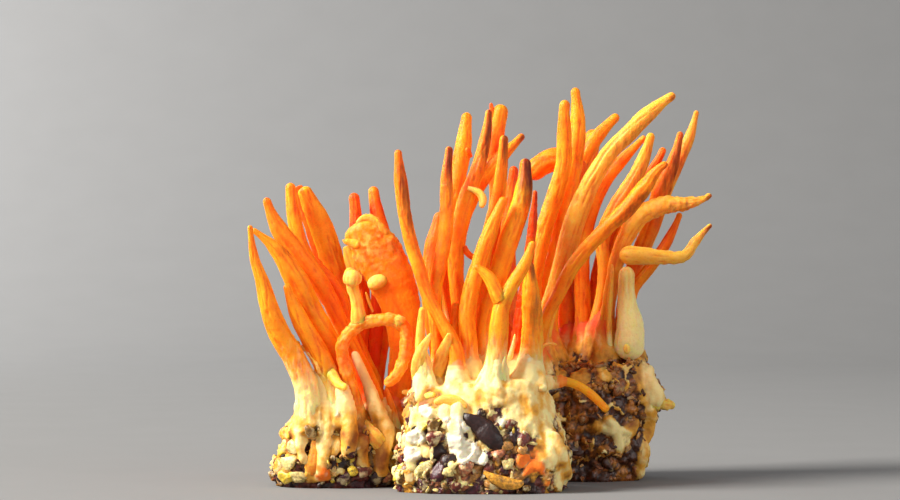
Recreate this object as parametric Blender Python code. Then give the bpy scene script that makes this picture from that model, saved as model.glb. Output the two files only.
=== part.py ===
"""A cordyceps bunch: three torn lumps of grown-through grain, cut flat below, with their orange stalks.

Run in Blender 4.5. Every size is in millimetres and is turned into metres where the meshes are made.
x runs to the right, y away from the viewer and z up, and the lumps stand on the plane z = 0.

A stalk is drawn as it shows from the front: a list of (x, z, width) points from its root to its tip, and
a depth at each end. The points are read at the plane y = 0, and a point at another depth lies on the same
line of sight, so the bunch keeps its outline from the front at any depth.
"""

import math
from dataclasses import dataclass

import bmesh
import bpy
import numpy as np
from mathutils import Vector, noise
from mathutils.bvhtree import BVHTree

MM = 0.001

# The eye from which the outline was read
EYE_DISTANCE = 700.0
EYE_X = -7.5
EYE_Z = 61.5

# The lumps are cut flat this far above the zero of the stalks' heights
CUT_HEIGHT = 2.5

# Stalks
NEIGHBOUR_GAP = 0.55
ROOT_GAP = 0.5
ROOT_CLEARANCE = 0.9
ROOT_REACH = 9.0
STEEPEST = 0.5
FOOT_SLOPE = 1.6
LIFT_STEP = 0.2
SPREAD_STEP = 2.0
PATH_STEP = 0.5
RING_STEP = 7.2
ROUND_SIDES = 8
SLIM_SIDES = 6
SLIM_WIDTH = 3.1
FEWEST_STEPS = 4
FEWEST_RINGS = 2
ROUNDNESS = 0.88
DOME = ((1.0, 1.0), (0.3, 0.72))

# How far the stalks fan out and bow in depth
FAN_OUT = 0.11
BOW = 1.4
BOW_TURN = 2.4

# Spreading the stalks in depth
SPREAD_ROUNDS = 300
SPREAD_SHARE = 0.35
NEARBY = 4.0
TIE_BREAK = 0.000001
HELD_SAMPLES = 3

# Lumps
LUMP_SIDES = 34
LUMP_SQUARENESS = 3.0
SIDE_LEVELS = (0.0, 0.07, 0.18, 0.3, 0.42, 0.54, 0.66, 0.78)
SHOULDER_RINGS = ((0.985, -2.2), (0.93, -0.7), (0.78, 0.1), (0.52, 0.6), (0.25, 0.8))
BUMP_SPACING = 5.5
BUMP_HEIGHT = 1.7
CROWN_OUT = 0.4
CROWN_UP = 0.6

# Colours, as sRGB hex
ORANGE = "F0701A"
DEEP_ORANGE = "E2560F"
PALE_ORANGE = "F59A4C"
YELLOW = "F3C66A"
GRAIN = "8A6A44"
DARK_GRAIN = "5E4130"
GRAIN_ROUGHNESS = 0.85
FLESH_ROUGHNESS = 0.6
SHARP_ANGLE = math.radians(55)


@dataclass
class Stalk:
    """One stalk: its host, its depth at root and tip, its colour and its front view."""

    name: str
    host: str
    depth: tuple
    colour: str
    points: list
    roundness: float = ROUNDNESS
    ring_step: float = RING_STEP
    rests: bool = False


def left_stalks():
    """The stalks of the left lump, from its outer edge inwards."""
    host = "left_lump"
    return [
        Stalk("left_outer_stalk", host, (-5.5, -8.0), ORANGE, [
            (-42.5, 17.0, 5.2), (-42.4, 24.0, 5.3), (-44.2, 29.5, 5.5), (-47.6, 36.5, 5.6),
            (-51.6, 43.5, 5.2), (-53.4, 50.0, 4.2), (-55.0, 55.5, 3.0), (-56.9, 61.5, 2.1),
            (-57.5, 67.7, 1.3)]),
        Stalk("left_outer_short_stalk", host, (-5.0, -4.5), ORANGE, [
            (-36.2, 16.0, 5.2), (-36.9, 24.0, 5.2), (-38.7, 32.0, 5.1), (-41.7, 38.0, 4.9),
            (-45.0, 44.0, 4.4), (-47.2, 49.0, 3.2), (-48.5, 53.0, 2.0)]),
        Stalk("left_leaning_stalk", host, (-2.5, -4.5), ORANGE, [
            (-31.3, 16.0, 4.2), (-32.3, 24.5, 4.3), (-34.0, 30.5, 4.5), (-36.4, 36.5, 4.8),
            (-40.0, 43.0, 5.2), (-43.2, 48.3, 5.8), (-45.6, 53.0, 6.0), (-47.8, 57.5, 5.2),
            (-50.8, 61.5, 3.7), (-54.2, 64.7, 2.5), (-57.0, 66.7, 1.4)]),
        Stalk("left_slim_tip_stalk", host, (1.0, 1.5), ORANGE, [
            (-25.0, 14.0, 3.8), (-25.6, 21.0, 3.6), (-27.2, 27.5, 3.5), (-30.0, 33.5, 3.6),
            (-33.0, 39.0, 3.8), (-35.6, 45.3, 4.1), (-38.2, 50.0, 4.6), (-40.8, 54.0, 5.0),
            (-43.9, 58.5, 5.1), (-47.5, 62.8, 5.0), (-50.4, 67.0, 4.2), (-52.3, 70.6, 2.9),
            (-53.5, 74.6, 2.1)]),
        Stalk("left_ridge_stalk", host, (5.0, 3.5), ORANGE, [
            (-28.5, 14.5, 3.8), (-28.6, 23.0, 3.6), (-30.0, 28.5, 3.6), (-32.4, 35.0, 3.7),
            (-33.4, 41.5, 3.8), (-33.8, 46.5, 3.9), (-35.6, 50.6, 4.0), (-38.8, 54.6, 4.0),
            (-42.3, 58.8, 3.4), (-45.8, 62.3, 2.2)]),
        Stalk("left_tall_stalk", host, (9.0, 6.5), ORANGE, [
            (-32.0, 16.0, 4.0), (-31.2, 27.0, 3.8), (-32.2, 35.0, 3.7), (-35.0, 42.0, 3.7),
            (-37.7, 49.0, 3.7), (-41.0, 55.5, 3.7), (-44.2, 61.5, 3.7), (-46.2, 68.0, 3.6),
            (-47.1, 74.0, 3.4), (-47.4, 78.3, 2.6)]),
        Stalk("left_folded_blade", host, (12.5, 9.0), ORANGE, [
            (-26.0, 14.5, 4.4), (-26.2, 26.0, 4.2), (-29.0, 33.0, 4.4), (-32.8, 41.5, 4.9),
            (-34.6, 49.0, 5.6), (-36.6, 57.5, 6.4), (-39.2, 65.0, 6.8), (-41.8, 71.5, 6.0),
            (-44.4, 77.2, 3.6)], 0.6),
        Stalk("left_back_tip", host, (17.5, 15.0), DEEP_ORANGE, [
            (-33.0, 16.0, 4.6), (-31.0, 28.0, 4.6), (-29.4, 38.0, 4.6), (-29.4, 48.0, 4.5),
            (-30.4, 58.0, 4.2), (-30.8, 64.0, 3.8), (-31.0, 70.2, 3.1), (-31.6, 75.8, 2.7)]),
        Stalk("left_back_tall_tip", host, (16.5, 17.0), DEEP_ORANGE, [
            (-27.0, 14.5, 4.4), (-26.2, 30.0, 4.4), (-24.8, 38.0, 4.4), (-22.8, 47.0, 4.3),
            (-22.2, 56.5, 4.3), (-23.8, 64.0, 4.1), (-25.4, 69.0, 3.9), (-26.4, 73.5, 3.6),
            (-26.7, 77.4, 2.8)]),
        Stalk("left_fan", host, (8.5, 8.5), ORANGE, [
            (-24.6, 13.5, 4.8), (-21.9, 21.0, 5.2), (-19.8, 31.0, 6.2), (-18.9, 39.0, 8.0),
            (-19.6, 46.5, 9.8), (-21.9, 53.0, 11.4), (-24.8, 58.8, 12.6), (-27.5, 63.5, 12.4),
            (-29.6, 67.0, 11.0), (-30.4, 68.6, 9.6)], 0.42, 6.0),
        Stalk("left_hook", host, (-4.5, -8.5), PALE_ORANGE, [
            (-31.0, 16.5, 3.1), (-32.2, 26.5, 3.1), (-33.9, 33.0, 3.1), (-34.6, 37.3, 3.2),
            (-32.6, 41.0, 3.3), (-28.8, 43.5, 3.2), (-24.2, 44.0, 3.2), (-20.6, 43.8, 3.4),
            (-18.6, 41.2, 3.3), (-18.4, 38.0, 3.1), (-19.0, 34.5, 3.1), (-20.2, 31.2, 3.0),
            (-22.2, 28.7, 3.0), (-24.0, 28.0, 2.6)], 0.95, 3.6),
        Stalk("left_knob_stalk", "left_hook", (-7.0, -7.5), YELLOW, [
            (-30.2, 42.6, 3.1), (-30.6, 47.0, 3.1), (-31.2, 50.5, 2.9), (-32.2, 53.2, 3.4),
            (-32.5, 55.2, 3.9), (-32.4, 57.1, 3.2)], 0.95, 3.0),
        Stalk("left_drooping_stub", "left_outer_short_stalk", (-4.5, -11.5), YELLOW, [
            (-38.5, 32.5, 2.2), (-37.2, 31.0, 2.2), (-36.2, 29.2, 2.2), (-35.0, 27.7, 2.2),
            (-33.3, 27.0, 1.9)], 0.9, 2.6),
        Stalk("left_inner_stalk", host, (14.5, 13.5), DEEP_ORANGE, [
            (-22.8, 14.0, 4.0), (-21.0, 24.0, 3.8), (-19.0, 33.0, 3.6), (-17.0, 42.0, 3.2),
            (-15.8, 49.5, 2.2)]),
    ]


def middle_stalks():
    """The stalks of the middle lump, which stands in front."""
    host = "middle_lump"
    return [
        Stalk("middle_lone_stalk", host, (-15.5, -12.0), ORANGE, [
            (-6.2, 24.0, 4.4), (-5.4, 32.0, 4.7), (-6.2, 36.8, 3.9), (-8.4, 41.5, 3.3),
            (-10.8, 45.5, 3.1), (-12.6, 49.0, 3.1), (-14.1, 53.0, 3.2), (-15.6, 58.0, 3.3),
            (-17.4, 64.0, 3.2), (-18.9, 71.0, 3.4), (-19.5, 76.5, 3.5), (-20.2, 82.0, 2.7),
            (-20.5, 86.6, 1.9)]),
        Stalk("middle_lone_leg", host, (-15.5, -14.5), YELLOW, [
            (-13.8, 23.5, 4.8), (-13.8, 31.0, 4.7), (-14.7, 35.3, 3.2), (-14.9, 40.0, 2.4),
            (-14.6, 44.5, 2.0), (-14.4, 47.2, 1.6)], 0.9, 5.0),
        Stalk("middle_left_stalk", host, (-13.0, -9.0), ORANGE, [
            (-11.3, 23.5, 3.8), (-11.2, 30.3, 3.5), (-10.6, 36.5, 3.2), (-11.0, 42.0, 3.3),
            (-11.6, 49.0, 3.5), (-10.6, 55.5, 3.6), (-9.3, 61.5, 3.6), (-8.4, 68.0, 3.6),
            (-8.4, 74.0, 3.4), (-8.4, 79.0, 2.9), (-7.9, 84.0, 2.3), (-7.7, 87.4, 1.9)]),
        Stalk("middle_left_back_stalk", host, (-5.0, -4.0), DEEP_ORANGE, [
            (-9.5, 24.0, 4.4), (-10.5, 36.5, 4.3), (-11.8, 44.0, 4.3), (-12.5, 51.5, 4.3),
            (-12.0, 58.0, 4.7), (-11.0, 64.5, 4.8), (-9.8, 71.0, 3.2)]),
        Stalk("middle_back_stalk", host, (-1.0, -1.5), ORANGE, [
            (-6.5, 24.0, 4.4), (-7.0, 36.5, 4.2), (-8.0, 44.0, 4.1), (-9.0, 50.0, 4.0),
            (-8.2, 57.0, 4.0), (-7.4, 63.0, 4.0), (-7.0, 69.5, 4.0), (-6.0, 76.5, 4.1),
            (-5.0, 83.0, 4.2), (-3.9, 89.5, 4.0), (-3.2, 95.9, 2.7)]),
        Stalk("middle_tall_stalk", host, (-8.0, -7.0), ORANGE, [
            (-3.6, 24.0, 4.2), (-4.2, 36.0, 3.8), (-4.8, 44.0, 3.6), (-5.8, 51.5, 3.6),
            (-6.2, 58.0, 3.8), (-5.7, 64.0, 4.0), (-4.7, 70.3, 4.1), (-3.0, 75.5, 4.0),
            (-1.0, 80.5, 3.7), (0.5, 85.5, 3.3), (1.7, 91.0, 2.7), (2.3, 96.6, 1.8)]),
        Stalk("middle_flat_top_stalk", host, (3.5, 1.5), DEEP_ORANGE, [
            (-1.0, 24.0, 4.2), (-0.8, 34.0, 4.1), (-0.5, 44.0, 4.0), (0.2, 53.0, 4.0),
            (1.6, 60.0, 4.0), (3.4, 66.5, 4.0), (4.2, 72.5, 4.0), (4.2, 79.0, 4.0), (3.6, 86.0, 4.1),
            (4.6, 92.5, 4.2), (5.4, 97.9, 3.9)]),
        Stalk("middle_side_tip_stalk", host, (-0.5, 0.0), ORANGE, [
            (-2.5, 24.0, 4.0), (-3.4, 36.0, 3.8), (-4.8, 46.0, 3.7), (-5.8, 55.0, 3.6),
            (-5.6, 62.0, 3.6), (-4.4, 68.0, 3.5), (-2.6, 73.0, 3.5), (-0.3, 77.3, 3.5),
            (2.6, 81.8, 3.6), (5.6, 85.0, 3.4), (8.4, 87.7, 2.5), (10.9, 90.4, 1.8)]),
        Stalk("middle_upright_stalk", host, (-4.5, -4.5), ORANGE, [
            (0.8, 24.0, 4.2), (0.2, 36.0, 3.9), (0.0, 46.0, 3.8), (0.2, 54.0, 3.8), (1.2, 61.5, 3.8),
            (2.7, 66.5, 3.8), (4.0, 71.5, 3.7), (4.8, 76.5, 3.5), (5.4, 81.5, 3.0), (5.8, 86.5, 2.6),
            (6.0, 90.2, 2.2)]),
        Stalk("middle_inner_stalk", host, (-13.0, -11.0), PALE_ORANGE, [
            (-1.9, 24.0, 4.6), (-2.6, 36.5, 4.3), (-3.2, 43.0, 4.2), (-2.9, 49.0, 4.1),
            (-1.3, 54.5, 4.0), (0.4, 60.3, 3.8), (2.2, 65.3, 3.5), (4.1, 70.3, 3.1),
            (6.2, 74.7, 2.2)]),
        Stalk("middle_brown_tip_stalk", host, (-9.0, -9.0), ORANGE, [
            (1.4, 24.0, 4.4), (0.8, 36.5, 3.9), (1.2, 43.0, 3.9), (2.6, 49.5, 4.1), (4.5, 55.3, 4.6),
            (6.0, 60.3, 5.0), (7.7, 65.3, 5.0), (9.4, 70.3, 4.9), (10.7, 75.3, 4.5), (11.4, 80.0, 3.8),
            (11.3, 84.4, 2.8)]),
        Stalk("middle_wrinkled_stalk", host, (-8.5, -12.0), DEEP_ORANGE, [
            (7.8, 25.0, 3.8), (9.2, 37.8, 3.5), (10.4, 46.5, 3.1), (11.7, 55.3, 2.7),
            (12.6, 62.8, 2.4), (13.3, 69.0, 2.1), (13.7, 73.0, 1.6), (13.8, 76.4, 1.1)]),
        Stalk("middle_fork_stem", host, (-17.5, -17.0), PALE_ORANGE, [
            (3.0, 24.0, 5.4), (3.7, 31.5, 5.1), (4.3, 36.5, 4.8), (4.7, 41.5, 4.7), (5.2, 46.5, 4.1),
            (7.3, 51.5, 3.3), (9.9, 55.5, 3.1), (12.0, 59.6, 2.7), (13.3, 63.7, 1.8)], 0.9, 6.0),
        Stalk("middle_fork_prong", "middle_fork_stem", (-17.5, -17.0), PALE_ORANGE, [
            (5.0, 46.5, 3.2), (4.2, 50.5, 3.1), (2.8, 53.8, 3.0), (0.9, 56.1, 2.7),
            (-1.4, 57.6, 1.7)], 0.9, 3.6),
        Stalk("middle_thick_stalk", host, (-13.0, -14.0), ORANGE, [
            (11.3, 24.5, 5.2), (12.9, 36.0, 5.5), (13.1, 44.0, 5.1), (12.6, 51.5, 4.2),
            (12.3, 58.5, 2.4)]),
        Stalk("middle_short_stalk", host, (-11.5, -10.5), ORANGE, [
            (-6.0, 24.0, 3.2), (-6.6, 36.0, 3.0), (-6.5, 42.0, 2.9), (-6.0, 48.4, 2.2)]),
        Stalk("middle_back_right_stalk", host, (1.0, -0.5), DEEP_ORANGE, [
            (8.5, 25.0, 4.2), (8.0, 39.0, 4.1), (7.4, 51.5, 4.0), (7.0, 64.0, 3.8), (7.5, 73.5, 3.5),
            (8.1, 78.0, 3.1), (8.5, 82.5, 2.3)]),
        Stalk("middle_loose_curl", host, (-11.0, -9.0), PALE_ORANGE, [
            (12.0, 26.6, 2.4), (16.3, 28.2, 2.2), (20.0, 28.8, 2.2), (23.8, 28.0, 2.2),
            (27.2, 25.9, 2.2), (30.0, 23.3, 2.2), (32.0, 21.2, 2.0)], 0.9, 4.0),
    ]


def right_stalks():
    """The stalks of the right lump, which stands behind."""
    host = "right_lump"
    return [
        Stalk("right_tallest_twin", host, (20.5, 21.0), ORANGE, [
            (16.0, 27.0, 5.2), (14.3, 38.0, 4.8), (13.3, 46.5, 4.6), (13.3, 54.0, 4.6),
            (15.0, 62.5, 4.5), (16.6, 68.5, 4.5), (18.4, 74.0, 4.4), (20.0, 79.0, 4.2),
            (21.0, 84.0, 4.1), (21.1, 89.0, 3.9), (20.9, 94.0, 3.6), (21.3, 99.0, 2.8)]),
        Stalk("right_tallest_stalk", host, (24.5, 25.0), ORANGE, [
            (18.5, 28.0, 5.8), (16.8, 38.0, 5.7), (16.8, 46.0, 5.7), (17.8, 54.0, 5.9),
            (19.2, 62.0, 5.6), (20.6, 69.5, 5.1), (22.3, 76.5, 4.7), (23.5, 83.0, 4.5),
            (24.1, 88.0, 4.4), (24.5, 93.0, 4.1), (24.2, 97.5, 3.4), (23.8, 102.1, 2.4)]),
        Stalk("right_arch", host, (29.0, 28.0), DEEP_ORANGE, [
            (23.0, 30.0, 5.2), (21.5, 45.0, 5.0), (20.8, 58.0, 5.0), (22.3, 69.0, 5.2),
            (24.6, 77.0, 5.4), (24.2, 82.0, 5.8), (20.5, 84.2, 6.2), (16.6, 83.4, 6.4),
            (13.6, 80.8, 6.4), (12.6, 79.2, 6.0)], ROUNDNESS, 4.8),
        Stalk("right_curved_stalk", host, (32.0, 31.5), ORANGE, [
            (20.0, 29.0, 5.0), (19.6, 41.5, 5.0), (20.0, 51.5, 5.0), (21.0, 61.5, 4.6),
            (22.4, 69.0, 4.3), (24.0, 76.5, 4.2), (25.2, 82.5, 4.1), (26.9, 86.3, 4.0),
            (29.3, 89.8, 3.8), (32.0, 92.8, 3.4), (34.6, 95.3, 2.4)]),
        Stalk("right_back_hump", host, (33.5, 34.0), DEEP_ORANGE, [
            (26.5, 30.0, 5.2), (25.0, 41.5, 5.2), (24.8, 52.0, 5.0), (25.0, 64.0, 4.8),
            (25.6, 74.0, 4.9), (26.8, 82.8, 5.0), (28.0, 88.5, 5.0), (28.7, 91.6, 4.4)]),
        Stalk("right_long_stalk", host, (15.5, 15.5), ORANGE, [
            (16.5, 27.0, 5.0), (15.0, 38.0, 4.7), (16.3, 44.0, 4.6), (18.0, 49.0, 4.7),
            (20.0, 55.3, 4.9), (21.3, 60.3, 5.2), (22.7, 65.5, 5.5), (24.3, 70.3, 5.4),
            (26.3, 75.3, 5.0), (28.4, 79.5, 4.6), (30.6, 83.3, 4.4), (33.2, 86.6, 4.3),
            (36.4, 89.9, 4.3), (40.0, 93.5, 4.2), (43.8, 97.0, 3.6), (46.6, 99.2, 2.8),
            (48.8, 100.4, 2.2)]),
        Stalk("right_upper_stalk", host, (24.0, 20.5), ORANGE, [
            (29.0, 30.5, 4.2), (28.8, 40.0, 3.8), (29.8, 47.0, 3.5), (31.0, 53.0, 3.3),
            (31.0, 59.0, 3.4), (30.6, 64.0, 3.7), (32.2, 68.7, 4.3), (34.4, 72.3, 4.5),
            (36.3, 75.3, 4.5), (38.3, 79.0, 4.2), (40.3, 82.8, 3.6), (41.7, 86.5, 3.0),
            (42.9, 90.8, 2.2)]),
        Stalk("right_upper_thin_stalk", host, (25.5, 23.5), DEEP_ORANGE, [
            (26.0, 30.0, 4.6), (25.8, 46.5, 4.2), (25.5, 55.3, 4.0), (25.9, 62.8, 3.8),
            (26.8, 67.0, 3.7), (28.0, 71.5, 3.6), (29.4, 75.3, 3.6), (31.8, 79.6, 3.6),
            (34.5, 82.8, 3.2), (37.5, 86.0, 2.7), (40.0, 88.5, 2.1), (41.4, 89.9, 1.6)]),
        Stalk("right_front_stalk", host, (12.5, 9.5), ORANGE, [
            (17.0, 27.0, 3.8), (14.8, 37.8, 3.3), (15.8, 42.8, 3.0), (17.6, 46.6, 3.0),
            (19.6, 50.4, 3.3), (21.4, 54.2, 3.6), (23.4, 57.8, 3.8), (25.8, 61.0, 3.8),
            (28.8, 64.1, 3.8), (31.8, 67.1, 3.9), (35.0, 70.1, 4.1), (38.2, 73.3, 4.3),
            (40.8, 76.6, 4.2), (43.0, 80.0, 3.4), (45.0, 82.2, 2.7), (46.9, 83.2, 2.0)]),
        Stalk("right_back_tip", host, (31.0, 26.5), DEEP_ORANGE, [
            (30.5, 30.5, 4.4), (28.8, 46.5, 4.0), (29.5, 55.3, 3.8), (32.3, 64.0, 3.7),
            (36.0, 70.5, 3.5), (40.0, 76.5, 3.2), (43.0, 81.5, 2.7), (44.7, 84.0, 2.4),
            (46.0, 87.1, 1.9)]),
        Stalk("right_brown_stalk", host, (28.0, 23.5), DEEP_ORANGE, [
            (35.0, 31.0, 4.5), (35.8, 42.8, 4.1), (36.7, 51.5, 4.1), (38.9, 58.5, 4.2),
            (41.9, 65.3, 4.5), (43.8, 70.5, 4.8), (45.1, 75.3, 4.9), (46.6, 79.3, 4.3),
            (48.1, 83.0, 3.4), (49.3, 87.0, 2.4), (50.2, 91.1, 1.7)]),
        Stalk("right_far_stalk", host, (32.0, 28.0), ORANGE, [
            (37.3, 30.0, 4.0), (36.8, 44.0, 3.6), (37.2, 51.0, 3.6), (39.3, 58.0, 3.6),
            (42.5, 65.0, 3.5), (45.3, 72.5, 3.3), (47.4, 78.5, 3.1), (49.1, 82.0, 3.0),
            (50.7, 85.5, 3.0), (52.1, 89.0, 2.9), (53.3, 92.5, 2.3), (54.2, 96.4, 1.4)]),
        Stalk("right_level_stalk", host, (20.5, 16.5), ORANGE, [
            (31.4, 31.0, 4.0), (31.6, 40.5, 3.7), (32.3, 49.0, 3.6), (33.3, 54.5, 3.7),
            (34.3, 59.3, 3.9), (36.3, 64.4, 4.4), (38.7, 68.4, 4.9), (41.2, 70.9, 5.0),
            (44.0, 72.3, 5.0), (47.0, 72.9, 4.6), (50.0, 73.1, 3.9), (53.0, 73.3, 3.1),
            (55.6, 73.8, 2.2), (57.8, 75.5, 1.4)], ROUNDNESS, 6.0),
        Stalk("right_slim_stalk", host, (27.0, 22.0), ORANGE, [
            (32.6, 31.0, 3.0), (32.2, 46.5, 2.7), (32.4, 53.0, 2.5), (32.7, 58.0, 2.4),
            (33.2, 62.0, 2.4), (34.3, 65.5, 2.2), (35.5, 68.4, 1.6)]),
        Stalk("right_pale_stem", host, (19.5, 17.5), YELLOW, [
            (36.4, 29.5, 6.0), (37.0, 34.0, 6.8), (37.5, 38.0, 7.8), (37.5, 41.5, 7.4),
            (37.1, 45.2, 6.2), (36.6, 49.0, 4.8), (36.5, 53.0, 4.2),
            (36.8, 57.4, 4.1)], ROUNDNESS, 3.6),
        Stalk("right_level_club", "right_pale_stem", (16.0, 15.0), YELLOW, [
            (34.8, 60.4, 4.0), (37.5, 60.2, 5.0), (40.5, 60.0, 4.6), (43.5, 60.0, 4.2),
            (46.3, 59.6, 3.7), (49.0, 59.3, 3.2), (51.2, 60.1, 3.0), (52.9, 62.2, 2.6),
            (54.6, 64.7, 2.2), (56.4, 66.6, 1.7), (57.9, 67.9, 1.2)], 0.95, 4.4, True),
        Stalk("right_side_stalk", host, (24.0, 20.0), ORANGE, [
            (38.0, 30.5, 3.4), (37.2, 42.0, 3.2), (37.5, 49.5, 3.1), (39.5, 53.8, 3.1),
            (42.3, 56.9, 3.1), (45.0, 60.4, 3.0), (47.6, 65.2, 2.5), (49.2, 68.5, 2.1),
            (50.1, 70.8, 1.6)]),
    ]


@dataclass
class Lump:
    """One torn lump: its outline at several heights, its crown, and lumps that swell from its side."""

    name: str
    colour: str
    sections: list
    crown: tuple
    seed: float
    swellings: list


def lumps():
    """The three lumps: a section is (z, left, right, front, back), a crown (height at left, at right)."""
    return [
        Lump("middle_lump", GRAIN, [
            (0.0, -20.4, 21.0, -23.5, 6.5), (4.6, -21.4, 21.6, -24.5, 8.0),
            (8.3, -20.4, 21.6, -24.5, 8.5), (14.5, -19.1, 19.6, -23.5, 8.0),
            (19.0, -18.4, 17.8, -22.5, 7.0), (28.0, -17.6, 15.8, -21.5, 6.0)],
            (24.3, 28.2), 0.0, [((16.0, -20.0, 10.0), 9.0, 1.6), ((-12.0, -22.0, 17.0), 8.0, 1.4)]),
        Lump("left_lump", GRAIN, [
            (0.0, -51.0, -20.9, -7.0, 20.0), (4.0, -51.6, -20.6, -8.0, 21.5),
            (10.0, -49.8, -20.4, -8.5, 22.0), (15.0, -48.4, -20.4, -8.0, 21.5),
            (20.0, -46.5, -20.8, -7.0, 20.0)],
            (19.6, 14.2), 3.7, [((-49.0, -5.0, 6.0), 8.0, 1.2), ((-45.0, -7.0, 14.0), 7.0, 1.0)]),
        Lump("right_lump", DARK_GRAIN, [
            (0.0, 9.5, 41.2, 12.0, 36.0), (5.0, 8.5, 43.0, 11.2, 37.5),
            (12.5, 8.0, 43.8, 11.0, 38.5), (18.0, 8.0, 44.3, 11.0, 39.0),
            (24.0, 8.5, 44.8, 11.0, 38.5), (33.0, 9.5, 43.0, 11.5, 37.5)],
            (26.6, 32.4), 8.1, [((47.5, 19.0, 21.5), 8.0, 7.0), ((30.0, 11.0, 20.0), 8.0, 0.9)]),
    ]


def clear_scene():
    """Remove every object that the file opened with."""
    for thing in list(bpy.data.objects):
        bpy.data.objects.remove(thing, do_unlink=True)


def linear_channel(value):
    """One sRGB channel, 0 to 1, as a linear one."""
    if value <= 0.04045:
        return value / 12.92
    return ((value + 0.055) / 1.055) ** 2.4


def make_material(name, hex_colour, roughness):
    """A plain Principled material in one colour."""
    material = bpy.data.materials.new(name + "_material")
    material.use_nodes = True
    shader = material.node_tree.nodes["Principled BSDF"]
    channels = [linear_channel(int(hex_colour[i:i + 2], 16) / 255) for i in (0, 2, 4)]
    shader.inputs["Base Color"].default_value = (*channels, 1.0)
    shader.inputs["Roughness"].default_value = roughness
    return material


def add_object(name, rings, start, end, hex_colour, roughness):
    """A closed tube of quads through rings of points, with a fan to a single point at each end."""
    mesh = bmesh.new()
    loops = [[mesh.verts.new(point * MM) for point in ring] for ring in rings]
    count = len(loops[0])
    for lower, upper in zip(loops, loops[1:]):
        for k in range(count):
            after = (k + 1) % count
            mesh.faces.new((lower[k], lower[after], upper[after], upper[k]))
    start_vertex = mesh.verts.new(start * MM)
    end_vertex = mesh.verts.new(end * MM)
    for k in range(count):
        after = (k + 1) % count
        mesh.faces.new((start_vertex, loops[0][after], loops[0][k]))
        mesh.faces.new((end_vertex, loops[-1][k], loops[-1][after]))
    bmesh.ops.recalc_face_normals(mesh, faces=mesh.faces)
    data = bpy.data.meshes.new(name)
    mesh.to_mesh(data)
    mesh.free()
    data.shade_smooth()
    data.set_sharp_from_angle(angle=SHARP_ANGLE)
    data.materials.append(make_material(name, hex_colour, roughness))
    thing = bpy.data.objects.new(name, data)
    bpy.context.scene.collection.objects.link(thing)
    return thing


def surface_tree(thing):
    """A search tree over an object's triangles, in millimetres."""
    data = thing.data
    data.calc_loop_triangles()
    points = [vertex.co / MM for vertex in data.vertices]
    triangles = [tuple(triangle.vertices) for triangle in data.loop_triangles]
    return BVHTree.FromPolygons(points, triangles)


def section_at(sections, z):
    """The (left, right, front, back) of a lump at a height, between the two nearest sections."""
    heights = [section[0] for section in sections]
    return [float(np.interp(z, heights, [section[side] for section in sections])) for side in (1, 2, 3, 4)]


def outline_point(box, angle, shrink):
    """A point of a rounded-square outline that fills box, shrunk towards its middle."""
    left, right, front, back = box
    power = 2 / LUMP_SQUARENESS
    across = math.copysign(abs(math.cos(angle)) ** power, math.cos(angle))
    along = math.copysign(abs(math.sin(angle)) ** power, math.sin(angle))
    x = (left + right) / 2 + (right - left) / 2 * across * shrink
    y = (front + back) / 2 + (back - front) / 2 * along * shrink
    return x, y


def crown_height(lump, x):
    """The height of a lump's top at x, which slopes from its left to its right."""
    left, right = lump.sections[-1][1], lump.sections[-1][2]
    return float(np.interp(x, (left, right), lump.crown))


def push_out(lump, point, outward):
    """Move a point of the side out by the grain bumps and by the swellings near it."""
    where = point / BUMP_SPACING + Vector((lump.seed, lump.seed, lump.seed))
    push = BUMP_HEIGHT * noise.noise(where)
    for centre, reach, height in lump.swellings:
        nearness = 1 - (point - Vector(centre)).length / reach
        push += height * max(0.0, nearness)
    return point + outward * push


def lump_rings(lump):
    """Rings of points from the flat cut up the side and over the shoulder towards the crown."""
    rings = []
    for level in SIDE_LEVELS:
        rings.append([side_point(lump, k, level) for k in range(LUMP_SIDES)])
    for shrink, rise in SHOULDER_RINGS:
        rings.append([top_point(lump, k, shrink, rise) for k in range(LUMP_SIDES)])
    return rings


def side_point(lump, k, level):
    """Point k of the side ring at a share of the lump's height; the lowest ring stays on the cut."""
    angle = 2 * math.pi * k / LUMP_SIDES
    x, y = outline_point(section_at(lump.sections, 0), angle, 1)
    z = level * crown_height(lump, x)
    x, y = outline_point(section_at(lump.sections, z), angle, 1)
    outward = Vector((math.cos(angle), math.sin(angle), 0))
    return push_out(lump, Vector((x, y, z)), outward)


def top_point(lump, k, shrink, rise):
    """Point k of a ring on the shoulder or the crown."""
    angle = 2 * math.pi * k / LUMP_SIDES
    x, y = outline_point(section_at(lump.sections, lump.sections[-1][0]), angle, shrink)
    point = Vector((x, y, crown_height(lump, x) + rise))
    outward = Vector((math.cos(angle) * CROWN_OUT, math.sin(angle) * CROWN_OUT, CROWN_UP))
    return push_out(lump, point, outward)


def add_lump(lump):
    """One lump, closed below by its flat cut and above by its crown."""
    rings = lump_rings(lump)
    base = sum(rings[0], Vector()) / LUMP_SIDES
    crown = sum(rings[-1], Vector()) / LUMP_SIDES
    return add_object(lump.name, rings, base, crown, lump.colour, GRAIN_ROUGHNESS)


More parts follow.
